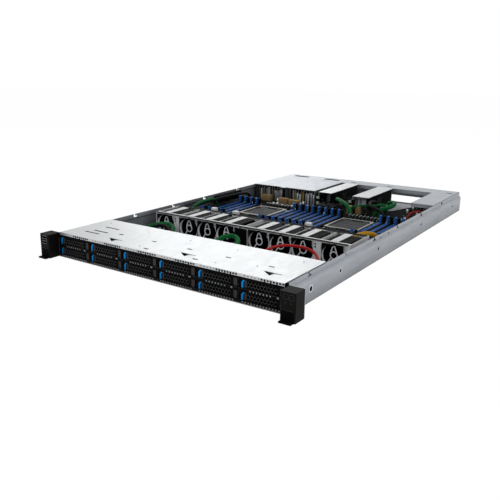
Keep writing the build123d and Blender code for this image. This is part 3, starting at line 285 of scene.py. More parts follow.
class MeshDraft:
    """A mesh under way, made of outlines, blocks and turned bodies in metres."""

    def __init__(self) -> None:
        """Starts with nothing drawn."""
        self.bm = bmesh.new()
        self.finishes: list[Finish] = []

    def index(self, finish: Finish) -> int:
        """The material number of a finish, added when new."""
        if finish not in self.finishes:
            self.finishes.append(finish)
        return self.finishes.index(finish)

    def block(self, across: Pair, deep: Pair, tall: Pair, finish: Finish, soften: float = 0.0) -> None:
        """Draws a block.

        Args:
            across: Its lowest and highest x.
            deep: Its lowest and highest y.
            tall: Its lowest and highest z.
            finish: The block's finish.
            soften: Width of the edge rounding, in metres.
        """
        low, high = (Vector(corner) for corner in zip(across, deep, tall))
        placed = Matrix.Translation((low + high) / 2) @ Matrix.Diagonal((*(high - low), 1))
        before = set(self.bm.faces)
        corners = bmesh.ops.create_cube(self.bm, size=1, matrix=placed)["verts"]
        if soften:
            edges = list({edge for corner in corners for edge in corner.link_edges})
            bmesh.ops.bevel(self.bm, geom=edges, offset=soften, segments=1, affect="EDGES", profile=0.5)
        number = self.index(finish)
        for face in self.bm.faces:
            if face not in before:
                face.material_index = number

    def part(self, at: Point, offsets: Sequence[Pair], finish: Finish, soften_mm: float = 0.0) -> None:
        """Draws a block whose ends are given as distances from a point.

        Args:
            at: The point, in metres.
            offsets: Lowest and highest x, y and z from there, in millimetres.
            finish: The block's finish.
            soften_mm: Width of the edge rounding, in millimetres.
        """
        ends = [(start + low * MM, start + high * MM) for start, (low, high) in zip(at, offsets)]
        self.block(*ends, finish, soften_mm * MM)

    def prism(self, outline: Sequence[Point], rise: Vector, finish: Finish) -> None:
        """Draws a flat outline pushed along rise.

        Args:
            outline: Corners in order, in space.
            rise: The way and length of the push.
            finish: The body's finish.
        """
        number = self.index(finish)
        start = [self.bm.verts.new(corner) for corner in outline]
        end = [self.bm.verts.new(Vector(corner) + rise) for corner in outline]
        faces = [self.bm.faces.new(start[::-1]), self.bm.faces.new(end)]
        for i in range(len(start)):
            j = (i + 1) % len(start)
            faces.append(self.bm.faces.new((start[i], start[j], end[j], end[i])))
        for face in faces:
            face.material_index = number

    def turned(self, base: Point, axis: Vector, profile: Sequence[Pair], finish: Finish, sides: int) -> None:
        """Draws a body turned about an axis.

        Args:
            base: Where the profile's height is zero.
            axis: Direction of the axis.
            profile: Pairs of radius and height; a radius of zero closes the body.
            finish: The body's finish.
            sides: How many sides round.
        """
        number = self.index(finish)
        turn = axis.normalized().to_track_quat("Z", "Y").to_matrix()
        rings = []
        for radius, height in profile:
            angles = [2 * math.pi * i / sides for i in range(sides if radius else 1)]
            circle = [(math.cos(angle), math.sin(angle)) for angle in angles]
            spokes = [Vector((radius * across, radius * up, height)) for across, up in circle]
            rings.append([self.bm.verts.new(Vector(base) + turn @ spoke) for spoke in spokes])
        for lower, upper in zip(rings, rings[1:]):
            for i in range(sides):
                j = i + 1
                around = ((lower, i), (lower, j), (upper, j), (upper, i))
                unique = list(dict.fromkeys(ring[k % len(ring)] for ring, k in around))
                if len(unique) > 2:
                    face = self.bm.faces.new(unique)
                    face.material_index = number
                    face.smooth = True

    def disc(self, base: Point, axis: Vector, radius: float, rise: float, finish: Finish, sides: int) -> None:
        """Draws a flat round plate that stands on its base."""
        self.turned(base, axis, [(0, 0), (radius, 0), (radius, rise), (0, rise)], finish, sides)

    def ring(self, base: Point, axis: Vector, radii: Pair, rise: float, finish: Finish, sides: int) -> None:
        """Draws a flat ring between an inner and an outer radius."""
        inner, outer = radii
        profile = [(inner, 0), (outer, 0), (outer, rise), (inner, rise), (inner, 0)]
        self.turned(base, axis, profile, finish, sides)

    def mesh(self, name: str) -> bpy.types.Mesh:
        """Turns the draft into a mesh with its materials; nothing can be drawn after that.

        Args:
            name: The mesh's name.

        Returns:
            The finished mesh.
        """
        bmesh.ops.recalc_face_normals(self.bm, faces=self.bm.faces)
        made = bpy.data.meshes.new(name)
        self.bm.to_mesh(made)
        self.bm.free()
        for finish in self.finishes:
            made.materials.append(finish.material())
        return made

    def finish(self, name: str, slot: str, body: str = CHASSIS) -> bpy.types.Object:
        """Turns the draft into an object that rides on a body."""
        return place_mesh(self.mesh(name), name, body)


def place_mesh(
    mesh: bpy.types.Mesh, name: str, body: str, at: Point = (0, 0, 0),
) -> bpy.types.Object:
    """Puts a mesh in the scene on its body.

    Args:
        mesh: The finished mesh.
        name: The piece's name.
        body: The CAD body it moves with.
        at: Where the object's origin goes.

    Returns:
        The new object.
    """
    made = bpy.data.objects.new(name, mesh)
    bpy.context.scene.collection.objects.link(made)
    made.location = at
    bpy.context.view_layer.update()
    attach(made, body)
    log.info("piece %s on %s", name, body)
    return made


def node_mesh(name: str) -> bpy.types.Mesh:
    """The CAD mesh of a node, as the frame loaded it."""
    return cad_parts[name].data


def islands(mesh: bpy.types.Mesh) -> list[Rectangle]:
    """Ground rectangles of a mesh's separate solids.

    Args:
        mesh: A mesh whose solids aren't joined.

    Returns:
        Low x, low y, high x and high y of each solid.
    """
    bm = bmesh.new()
    bm.from_mesh(mesh)
    bmesh.ops.remove_doubles(bm, verts=bm.verts[:], dist=1e-6)
    left = set(bm.verts)
    spots = []
    while left:
        stack = [left.pop()]
        xs, ys = [], []
        while stack:
            vertex = stack.pop()
            xs.append(vertex.co.x)
            ys.append(vertex.co.y)
            for edge in vertex.link_edges:
                other = edge.other_vert(vertex)
                if other in left:
                    left.remove(other)
                    stack.append(other)
        spots.append((min(xs), min(ys), max(xs), max(ys)))
    bm.free()
    return spots


def ground(x: float, y: float, width: float, depth: float) -> Rectangle:
    """The ground rectangle of a part that is centred on x and y."""
    return x - width / 2, y - depth / 2, x + width / 2, y + depth / 2


def meets(a: Rectangle, b: Rectangle) -> bool:
    """Whether two ground rectangles overlap."""
    return a[0] < b[2] and b[0] < a[2] and a[1] < b[3] and b[1] < a[3]


@dataclass
class DriveHandles:
    """The swinging handles of the drive carriers, with their mesh faces and blue catches."""

    cell: float = 5.2 * MM
    wire: float = 0.5 * MM
    wire_depth: float = 0.9 * MM
    wire_inset: float = 0.3 * MM
    rim: float = 0.7 * MM
    lead: float = 3.0 * MM
    lead_inset: float = 0.8 * MM
    catch: float = 2.8 * MM
    catch_depth: float = 1.6 * MM
    catch_lean: float = 2.6 * MM
    catch_lip: float = 3.6 * MM
    catch_top: float = 0.4 * MM
    pocket: float = 3.2 * MM
    bar: float = 2.2 * MM
    bar_round: float = 0.35 * MM
    end_bar: float = 6.0 * MM
    end_round: float = 0.5 * MM
    gap: float = 4.4 * MM
    inset: float = 1.0 * MM

    def build(self) -> None:
        """Makes one handle and hangs it in each bay."""
        first = "drive_handle_lower_1"
        mesh = self.mesh(first)
        low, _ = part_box(first)
        for row in ("lower", "upper"):
            for column in range(1, BAYS + 1):
                node = f"drive_handle_{row}_{column}"
                here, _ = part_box(node)
                piece = place_mesh(mesh, f"handle_face_{row}_{column}", node, here - low)
                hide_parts(node)

    def mesh(self, node: str) -> bpy.types.Mesh:
        """Draws the handle of one bay where the CAD has it.

        Args:
            node: The CAD node it is drawn for.

        Returns:
            The mesh, in the frame's own place.
        """
        low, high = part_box(node)
        draft = MeshDraft()
        front, back = low.y, high.y
        tall = (low.z, high.z)
        catch_start = low.x + self.lead
        catch_end = catch_start + self.catch
        pocket_end = catch_end + self.pocket
        bar_end = pocket_end + self.bar
        end_start = high.x - self.end_bar
        mesh_end = end_start - self.gap
        pocket = (front + self.catch_depth, back)
        draft.block((low.x, catch_start), (front + self.lead_inset, back), tall, CARRIER_BLACK)
        # The pocket behind and beside the catch is painted shade
        draft.block((catch_start, catch_end), pocket, tall, BLUE_POCKET_PAINTED_SHADE)
        # The bright catch stands in a pocket painted dark as its shade, with its top leaning to the right
        lip, top = high.z - self.catch_lip, high.z - self.catch_top
        outline = [
            (catch_start, low.z), (catch_end, low.z), (catch_end, lip),
            (catch_end + self.catch_lean, top), (catch_start + self.catch_lean, top), (catch_start, lip),
        ]
        draft.prism([(x, front, z) for x, z in outline], Vector((0, self.catch_depth, 0)), BLUE_BRIGHT)
        draft.block((catch_end, pocket_end), pocket, tall, BLUE_POCKET_PAINTED_SHADE)
        draft.block((pocket_end, bar_end), (front, back), tall, BAR_PLASTIC, self.bar_round)
        draft.block((end_start, high.x), (front, back), tall, BAR_PLASTIC, self.end_round)
        draft.block((mesh_end, end_start), (front + self.inset, back), tall, CARRIER_BLACK)
        for rim in ((low.z, low.z + self.rim), (high.z - self.rim, high.z)):
            draft.block((bar_end, mesh_end), (front, back), rim, CARRIER_BLACK)
        cells = (bar_end, low.z + self.rim), (mesh_end, high.z - self.rim)
        self.lattice(draft, *cells, front + self.wire_inset)
        return draft.mesh("handle_face")

    def lattice(self, draft: MeshDraft, low: Pair, high: Pair, front: float) -> None:
        """Fills a rectangle with six-sided cells.

        Args:
            draft: The mesh that takes them.
            low: Lowest x and z.
            high: Highest x and z.
            front: Y of the cells' front edge.
        """
        bm = bmesh.new()
        outer = self.cell / math.sqrt(3)
        rows = int((high[1] - low[1]) / (outer * 1.5)) + 3
        columns = int((high[0] - low[0]) / self.cell) + 3
        corners = [(math.sin(math.pi / 3 * i), math.cos(math.pi / 3 * i)) for i in range(6)]
        for row in range(-1, rows):
            for column in range(-1, columns):
                x = low[0] + (column + 0.5 * (row % 2)) * self.cell
                z = low[1] + row * outer * 1.5
                rings = [
                    [bm.verts.new((x + radius * across, front, z + radius * up)) for across, up in corners]
                    for radius in (outer, outer - self.wire)
                ]
                for i in range(6):
                    j = (i + 1) % 6
                    bm.faces.new((rings[0][i], rings[0][j], rings[1][j], rings[1][i]))
        cuts = (((low[0], 0, 0), (-1, 0, 0)), ((high[0], 0, 0), (1, 0, 0)),
                ((0, 0, low[1]), (0, 0, -1)), ((0, 0, high[1]), (0, 0, 1)))
        for point, way in cuts:
            geom = bm.verts[:] + bm.edges[:] + bm.faces[:]
            bmesh.ops.bisect_plane(bm, geom=geom, plane_co=point, plane_no=way, clear_outer=True)
        bmesh.ops.remove_doubles(bm, verts=bm.verts[:], dist=1e-6)
        raised = bmesh.ops.extrude_face_region(bm, geom=bm.faces[:])["geom"]
        moved = [item for item in raised if isinstance(item, bmesh.types.BMVert)]
        bmesh.ops.translate(bm, verts=moved, vec=(0, self.wire_depth, 0))
        number = draft.index(MESH_BLACK)
        for face in bm.faces:
            face.material_index = number
        spare = bpy.data.meshes.new("cells")
        bm.to_mesh(spare)
        bm.free()
        draft.bm.from_mesh(spare)
        bpy.data.meshes.remove(spare)


@dataclass
class Loom:
    """One cable or bundle that is held at both ends, drawn as separate wires."""

    name: str
    radius: float
    wires: int
    finishes: tuple[Finish, ...]
    route: Sequence[Point]
    turns: float = 2.0
    packing: float = 1.15

    def line(self) -> list[Vector]:
        """Follows the route with a smooth line.

        Returns:
            Points along the line, in metres.
        """
        curve = bpy.data.curves.new("route", "CURVE")
        curve.dimensions = "3D"
        curve.resolution_u = 10
        spline = curve.splines.new("NURBS")
        spline.points.add(len(self.route) - 1)
        for point, place in zip(spline.points, self.route):
            point.co = (*(Vector(place) * MM), 1)
        spline.order_u = 3
        spline.use_endpoint_u = True
        mesh = self.baked(curve)
        points = [vertex.co.copy() for vertex in mesh.vertices]
        bpy.data.meshes.remove(mesh)
        return points

    @staticmethod
    def baked(curve: bpy.types.Curve) -> bpy.types.Mesh:
        """Turns a curve to a mesh and clears the curve away.

        Args:
            curve: The finished curve.

        Returns:
            Its mesh.
        """
        holder = bpy.data.objects.new(curve.name, curve)
        bpy.context.scene.collection.objects.link(holder)
        mesh = bpy.data.meshes.new_from_object(holder)
        bpy.data.objects.remove(holder)
        bpy.data.curves.remove(curve)
        return mesh

    def build(self) -> bpy.types.Object:
        """Winds the wires round the route.

        Returns:
            The bundle as one mesh object.
        """
        points = self.line()
        radius = self.radius * MM
        wire = radius if self.wires == 1 else radius * self.packing / (1 + math.sqrt(self.wires))
        reach = 0.0 if self.wires == 1 else radius - wire
        curve = bpy.data.curves.new(self.name, "CURVE")
        curve.dimensions = "3D"
        curve.bevel_depth = wire
        curve.bevel_resolution = 2
        curve.use_fill_caps = True
        side = SLANT.cross(points[1] - points[0]).normalized()
        frames = []
        for i, point in enumerate(points):
            ahead = points[min(i + 1, len(points) - 1)] - points[max(i - 1, 0)]
            ahead.normalize()
            side = (side - ahead * side.dot(ahead)).normalized()
            frames.append((point, side.copy(), ahead.cross(side)))
        for number in range(self.wires):
            core = number == 0 and self.wires > 3
            spline = curve.splines.new("POLY")
            spline.points.add(len(points) - 1)
            for i, (point, first, second) in enumerate(frames):
                angle = 2 * math.pi * (number / max(self.wires - 1, 1) + self.turns * i / len(points))
                shift = Vector() if core else (first * math.cos(angle) + second * math.sin(angle)) * reach
                spline.points[i].co = (*(point + shift), 1)
            spline.material_index = number % len(self.finishes)
        for finish in self.finishes:
            curve.materials.append(finish.material())
        mesh = self.baked(curve)
        for polygon in mesh.polygons:
            polygon.use_smooth = True
        return place_mesh(mesh, self.name, CHASSIS)


# Where the looms end, in millimetres: on the drive backplane's rear face and on the main board's top
REAR = 114.6
FOOT = 8.0
GREEN = (GREEN_WIRE,)
MIXED = (GREEN_WIRE, GREEN_WIRE, DARK_WIRE)
YELLOW = (YELLOW_WIRE, YELLOW_WIRE, YELLOW_WIRE, DARK_WIRE)
BLACK = (BLACK_SLEEVE,)
RED = (RED_SLEEVE,)
LOOMS = (
    Loom("loom_left", 4.2, 9, GREEN, (
        (-190, REAR, 14), (-190, 132, 14), (-166, 182, 29), (-124, 186, 31), (-100, 132, 12),
        (-100, REAR, 12))),
    Loom("sleeve_left", 3.2, 1, BLACK, (
        (-150, REAR, 25), (-150, 130, 25), (-136, 150, 37), (-112, 151, 36), (-91, 130, 24),
        (-91, REAR, 24))),
    Loom("loom_middle", 4.2, 9, GREEN, (
        (-22, REAR, 12), (-22, 134, 12), (-10, 180, 32), (22, 180, 32), (38, 132, 14), (38, REAR, 14))),
    Loom("cable_red", 2.4, 1, RED, (
        (80, REAR, 22), (80, 134, 22), (100, 180, 35), (166, 180, 35), (188, 134, 18), (188, REAR, 18))),
    Loom("loom_right", 4.2, 9, MIXED, (
        (158, REAR, 10), (158, 134, 10), (176, 184, 14), (196, 184, 12), (203, 134, 10), (203, REAR, 10))),
    Loom("sleeve_wall", 3.2, 1, BLACK, (
        (-205, 306, FOOT), (-205, 306, 22), (-203, 344, 33), (-198, 520, 34), (-194, 540, 24),
        (-194, 540, FOOT))),
    Loom("loom_rear", 4.2, 9, MIXED, (
        (-4, 614, FOOT), (-4, 614, 24), (6, 580, 34), (64, 528, 32), (64, 528, FOOT))),
    Loom("sleeve_rear", 3.2, 1, BLACK, (
        (90, 622, FOOT), (90, 622, 26), (82, 590, 36), (96, 546, 34), (132, 540, 26), (132, 540, FOOT))),
    Loom("loom_card", 4.2, 9, GREEN, (
        (104, 624, FOOT), (104, 624, 28), (128, 612, 36), (140, 576, 34), (104, 556, 22), (104, 556, FOOT))),
    Loom("loom_fans", 4.8, 10, YELLOW, (
        (166, 304, FOOT), (166, 306, 24), (176, 316, 34), (194, 330, 34), (201, 340, 22), (201, 341, FOOT))),
    Loom("cable_rear_red", 1.8, 1, RED, (
        (178, 544, FOOT), (178, 545, 24), (186, 556, 32), (198, 572, 31), (203, 590, 18), (203, 591, FOOT))),
    Loom("loom_wall", 3.0, 7, MIXED, (
        (-186, 300, FOOT), (-186, 302, 26), (-190, 326, 38), (-196, 372, 38.5), (-202, 410, 36),
        (-202, 418, 20), (-202, 419, FOOT))),
    Loom("loom_riser", 3.2, 7, MIXED, (
        (48, 560, FOOT), (48, 561, 18), (62, 563, 27), (92, 584, 27), (108, 606, 28), (122, 594, 27),
        (118, 560, 24), (118, 552, 18), (118, 551, FOOT))),
)


@dataclass
class Looms:
    """All held cables inside the chassis; most lie on the routes of the CAD tubes."""

    looms: tuple[Loom, ...] = LOOMS

    def build(self) -> None:
        """Winds each bundle; together they stand for the CAD tubes."""
        pieces = [loom.build() for loom in self.looms]
        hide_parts("cable_looms")


@dataclass
class StripTrim:
    """Black trim on the cage's middle strip, with a row of small windows in each bay."""

    tall: Pair = (19.35 * MM, 22.25 * MM)
    front: float = -5.35 * MM
    back: float = -5.02 * MM
    first: float = 18 * MM
    last: float = 54 * MM
    windows: int = 7
    window: float = 1.7 * MM
    recess: float = 0.05 * MM
    proud: float = 0.03 * MM
    rim: float = 0.4 * MM
    dots: int = 13
    dot_start: float = 6.0 * MM
    dot_step: float = 4.7 * MM
    dot: float = 1.9 * MM
    dot_row: Pair = (3.1 * MM, 4.5 * MM)
    edge: Pair = (1.5 * MM, 2.1 * MM)
    tab: Pair = (59.5 * MM, 62.5 * MM)
    sill: Pair = (1.5 * MM, 4.9 * MM)

    def build(self) -> None:
        """Draws the trim from bars and the webs between the windows."""
        draft = MeshDraft()
        half = BAYS * BAY_PITCH / 2
        low, high = self.tall
        inner = (low + self.rim, high - self.rim)
        face, bright = (self.front, self.back), (self.front - self.proud, self.front)
        for row in ((inner[1], high), (low, inner[0]), self.sill):
            draft.block((-half, half), face, row, CARRIER_BLACK)
        draft.block((-half, half), bright, self.edge, NICKEL)
        step = (self.last - self.first) / self.windows
        starts = [self.first + i * step for i in range(self.windows)]
        openings = [*((x, x + self.window) for x in starts), self.tab]
        for bay in range(BAYS):
            start = edge = -half + bay * BAY_PITCH
            for i in range(self.dots):
                x = start + self.dot_start + i * self.dot_step
                draft.block((x, x + self.dot), bright, self.dot_row, NICKEL)
            for left, right in openings:
                window = (start + left, start + right)
                draft.block(window, (self.front + self.recess, self.back), inner, ALUMINIUM)
                draft.block((edge, start + left), face, inner, CARRIER_BLACK)
                edge = start + right
            draft.block((edge, start + BAY_PITCH), face, inner, CARRIER_BLACK)
        draft.finish("strip_trim", "black_plastic")


@dataclass
class LipShade:
    """The bay cover's perforated front lip: slots over each bay and small holes beside them as black painted
    shade, dark below.
    """

    deep: Pair = (-5.15 * MM, -4.98 * MM)
    half: float = 213.8 * MM
    band: Pair = (35.9 * MM, 38.5 * MM)
    slot_row: Pair = (39.7 * MM, 41.9 * MM)
    slots: int = 8
    slot_step: float = 4.6 * MM
    slot_width: float = 3.1 * MM
    dots: int = 5
    dot: float = 1.3 * MM
    dot_start: float = -27.0 * MM
    dot_step: float = 5.4 * MM

    def build(self) -> None:
        """Draws the dark parts of the lip bay by bay."""
        draft = MeshDraft()
        draft.block((-self.half, self.half), self.deep, self.band, CARRIER_BLACK)
        middle = sum(self.slot_row) / 2
        dot_row = (middle - self.dot / 2, middle + self.dot / 2)
        for bay in range(BAYS):
            centre = (bay - (BAYS - 1) / 2) * BAY_PITCH
            # Painted shade: each slot and small hole is a black block for the dark inside of the opening
            for i in range(self.slots):
                x = centre + i * self.slot_step - self.slot_width / 2
                draft.block((x, x + self.slot_width), self.deep, self.slot_row, CARRIER_BLACK)
            for i in range(self.dots):
                x = centre + self.dot_start + i * self.dot_step
                draft.block((x, x + self.dot), self.deep, dot_row, CHIP)
        draft.finish("lip_shade_and_band", "black_plastic")


@dataclass
class CoverTabs:
    """Tabs bent down under the three-cornered holes of the bay cover, half across each hole."""

    places: tuple[Pair, ...] = ((-107.0, 13.0), (36.0, 18.0), (180.0, 17.0))
    outline: tuple[Pair, ...] = ((2.0, -6.6), (13.6, 5.4), (2.6, 5.4))
    top: float = 42.1 * MM
    thick: float = 0.5 * MM

    def build(self) -> None:
        """Draws one flat tab in each hole, a little below the sheet."""
        draft = MeshDraft()
        for place_x, place_y in self.places:
            corners = [((place_x + x) * MM, (place_y + y) * MM, self.top) for x, y in self.outline]
            draft.prism(corners, UP * self.thick, ZINC_REAR)
        draft.finish("cover_tabs", "steel")


@dataclass
class SocketDress:
    """Grooves, bars and screws on the two processor covers."""

    bar: float = 2.2 * MM
    bar_round: float = 0.2 * MM
    rise: float = 0.7 * MM
    grooves: int = 5
    groove: float = 1.6 * MM
    groove_rise: float = 0.15 * MM
    screw: tuple[Pair, ...] = ((0, 0), (1.6 * MM, 0), (1.6 * MM, 1.0 * MM), (0, 1.2 * MM))
    screw_sides: int = 10

    def build(self) -> None:
        """Draws the parts on each cover, inside the socket's outline."""
        draft = MeshDraft()
        _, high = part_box("cpu_covers")
        foot, bar = high.z - SUNK, self.bar
        tall = (foot, high.z + self.rise)
        for low_x, low_y, high_x, high_y in islands(node_mesh("cpu_covers")):
            for x in (low_x, high_x - bar):
                draft.block((x, x + bar), (low_y, high_y), tall, NICKEL, self.bar_round)
            for y in (low_y, high_y - bar):
                draft.block((low_x + bar, high_x - bar), (y, y + bar), tall, NICKEL, self.bar_round)
            step = (high_y - low_y - 2 * bar) / (self.grooves + 1)
            across = (low_x + 3 * bar, high_x - 3 * bar)
            # Painted shade: each groove is a dark strip laid on the cover
            for i in range(self.grooves):
                y = low_y + bar + step * (i + 1)
                draft.block(across, (y, y + self.groove), (foot, high.z + self.groove_rise), CHIP)
            for x in (low_x + 2 * bar, high_x - 2 * bar):
                for y in (low_y + 3 * bar, high_y - 3 * bar):
                    draft.turned((x, y, foot), UP, self.screw, SCREW_STEEL, self.screw_sides)
        draft.finish("socket_bars", "steel")


@dataclass
class EarPorts:
    """Bright shells and blue tongues of the two ports in the left ear."""

    x: float = -230.3 * MM
    heights: Pair = (27.2 * MM, 35.6 * MM)
    half_width: float = 6.2 * MM
    half_height: float = 2.5 * MM
    depth: Pair = (0.3 * MM, 3 * MM)
    tongue: float = 1.1 * MM
    tongue_inset: Pair = (2 * MM, 1.2 * MM)
    wall: float = 0.45 * MM

    def build(self) -> None:
        """Draws each port inside its opening."""
        low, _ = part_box("ear_left")
        front, back = (low.y + depth for depth in self.depth)
        side, behind = self.tongue_inset
        left, right = self.x - self.half_width, self.x + self.half_width
        draft = MeshDraft()
        for z in self.heights:
            bottom, top = z - self.half_height, z + self.half_height
            inner = (bottom + self.wall, top - self.wall)
            for row in ((bottom, inner[0]), (inner[1], top)):
                draft.block((left, right), (front, back), row, SCREW_STEEL)
            for column in ((left, left + self.wall), (right - self.wall, right)):
                draft.block(column, (front, back), inner, SCREW_STEEL)
            tall = (z, z + self.tongue)
            draft.block((left + side, right - side), (front + behind, back), tall, BLUE_SOCKET)
        draft.finish("ear_ports", "connector")


@dataclass
class EarLines:
    """Raised lines on the ears: a ring round each button, a small mark and the seam over each lever."""

    ring: Pair = (3.7 * MM, 4.15 * MM)
    ring_sides: int = 24
    rise: float = 0.25 * MM
    sunk: float = 0.05 * MM
    seam: Pair = (0.25 * MM, 0.65 * MM)
    mark: Pair = (2.6 * MM, 0.7 * MM)
    mark_drop: float = 8.0 * MM

    def build(self) -> None:
        """Draws the lines on the front faces."""
        draft = MeshDraft()
        ear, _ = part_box("ear_right")
        deep = (ear.y - self.rise, ear.y + self.sunk)
        width, height = self.mark
        for node in ("power_button", "locate_button"):
            low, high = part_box(node)
            centre = (low + high) / 2
            place = (centre.x, deep[1], centre.z)
            draft.ring(place, Vector((0, -1, 0)), self.ring, self.rise, LINE_PLASTIC, self.ring_sides)
            left, bottom = centre.x - width / 2, centre.z - self.mark_drop
            draft.block((left, left + width), deep, (bottom, bottom + height), LINE_PLASTIC)
        for side in ("left", "right"):
            low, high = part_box(f"ear_lever_{side}")
            draft.block((low.x, high.x), deep, [high.z + end for end in self.seam], LINE_PLASTIC)
        draft.finish("ear_lines", "ear_plastic")


@dataclass
class FanOpeningShade:
    """Painted shade of the fan openings: black rings on the tray's front plate, square outside and round
    inside.
    """

    inner: float = 18.2 * MM
    half_width: float = 18.8 * MM
    half_height: float = 19.8 * MM
    middle: Pair = (-8.0 * MM, 17.0 * MM)
    margin: float = 2 * MM
    reach: float = 0.3 * MM
    thick: float = 0.27 * MM
    sides: int = 32

    def build(self) -> None:
        """Draws the painted shade of each fan opening as a run of four-cornered pieces."""
        low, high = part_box("fan_tray")
        draft = MeshDraft()
        front = low.y - self.reach
        far = 2 * self.half_height
        for number in range(1, FANS + 1):
            rotor_low, rotor_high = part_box(f"fan_rotor_{number}")
            centre = (rotor_low + rotor_high) / 2
            for i in range(self.sides):
                corners = []
                for radius, turn in ((self.inner, i), (self.inner, i + 1), (far, i + 1), (far, i)):
                    angle = 2 * math.pi * turn / self.sides
                    across = max(-self.half_width, min(self.half_width, radius * math.cos(angle)))
                    up = max(-self.half_height, min(self.half_height, radius * math.sin(angle)))
                    corners.append((centre.x + across, front, centre.z + up))
                draft.prism(corners, Vector((0, self.thick, 0)), BLACK_PLASTIC)
        # A black strip across the middle of the plate
        tall = (low.z + self.margin, high.z - self.margin)
        draft.block(self.middle, (front, front + self.thick), tall, BLACK_PLASTIC)
        draft.finish("fan_opening_shade", "black_plastic")


@dataclass
class FanStrips:
    """Black rubber strips on the fan tray's top, in front of the clips and behind them."""

    margin: float = 2.0 * MM
    strips: tuple[Pair, Pair] = ((1.6 * MM, 8.0 * MM), (72.0 * MM, 79.5 * MM))
    thick: float = 0.4 * MM

    def build(self) -> None:
        """Lays both strips along the tray."""
        low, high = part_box("fan_tray")
        draft = MeshDraft()
        across, tall = (low.x + self.margin, high.x - self.margin), (high.z, high.z + self.thick)
        for strip in self.strips:
            draft.block(across, [low.y + end for end in strip], tall, BLACK_PLASTIC)
        draft.finish("fan_strips", "black_plastic")


@dataclass
class RiserCards:
    """The cards that hang under the riser plates, and the green front edges of the riser boards."""

    edges: Pair = (-48.8 * MM, 29.0 * MM)
    edge: tuple[Pair, ...] = ((0, 1.6), (-0.4, -0.02), (8.3, 37))
    front: float = 588.0 * MM
    plugs: Pair = (13.0 * MM, 25.0 * MM)
    plug: tuple[Pair, ...] = ((2.2, 13), (-0.5, 11.5), (0, 9))
    plug_round: float = 0.5
    plug_face: tuple[Pair, ...] = ((3.2, 10), (-3, -0.5), (1.5, 7))
    face_round: float = 0.4
    cards: Pair = (-12.0 * MM, 74.0 * MM)
    card: tuple[Pair, ...] = ((0, 1.6), (0, 128), (0, 30))
    card_start: Pair = (600.0 * MM, 11.0 * MM)
    card_plug: tuple[Pair, ...] = ((-9, 0), (6, 30), (4, 26))
    card_chip: tuple[Pair, ...] = ((1.6, 3.4), (40, 64), (6, 22))
    chip_round: float = 0.3

    def build(self) -> None:
        """Draws each card with a connector block, and each board's edge."""
        draft = MeshDraft()
        for x in self.edges:
            draft.part((x, self.front, 0), self.edge, RISER_BOARD)
            for z in self.plugs:
                draft.part((x, self.front, z), self.plug, CHIP, self.plug_round)
                draft.part((x, self.front, z), self.plug_face, WHITE_NYLON, self.face_round)
        for x in self.cards:
            draft.part((x, *self.card_start), self.card, BOARD)
            draft.part((x, *self.card_start), self.card_plug, CHIP, self.plug_round)
            draft.part((x, *self.card_start), self.card_chip, CHIP, self.chip_round)
        draft.finish("riser_cards", "board")


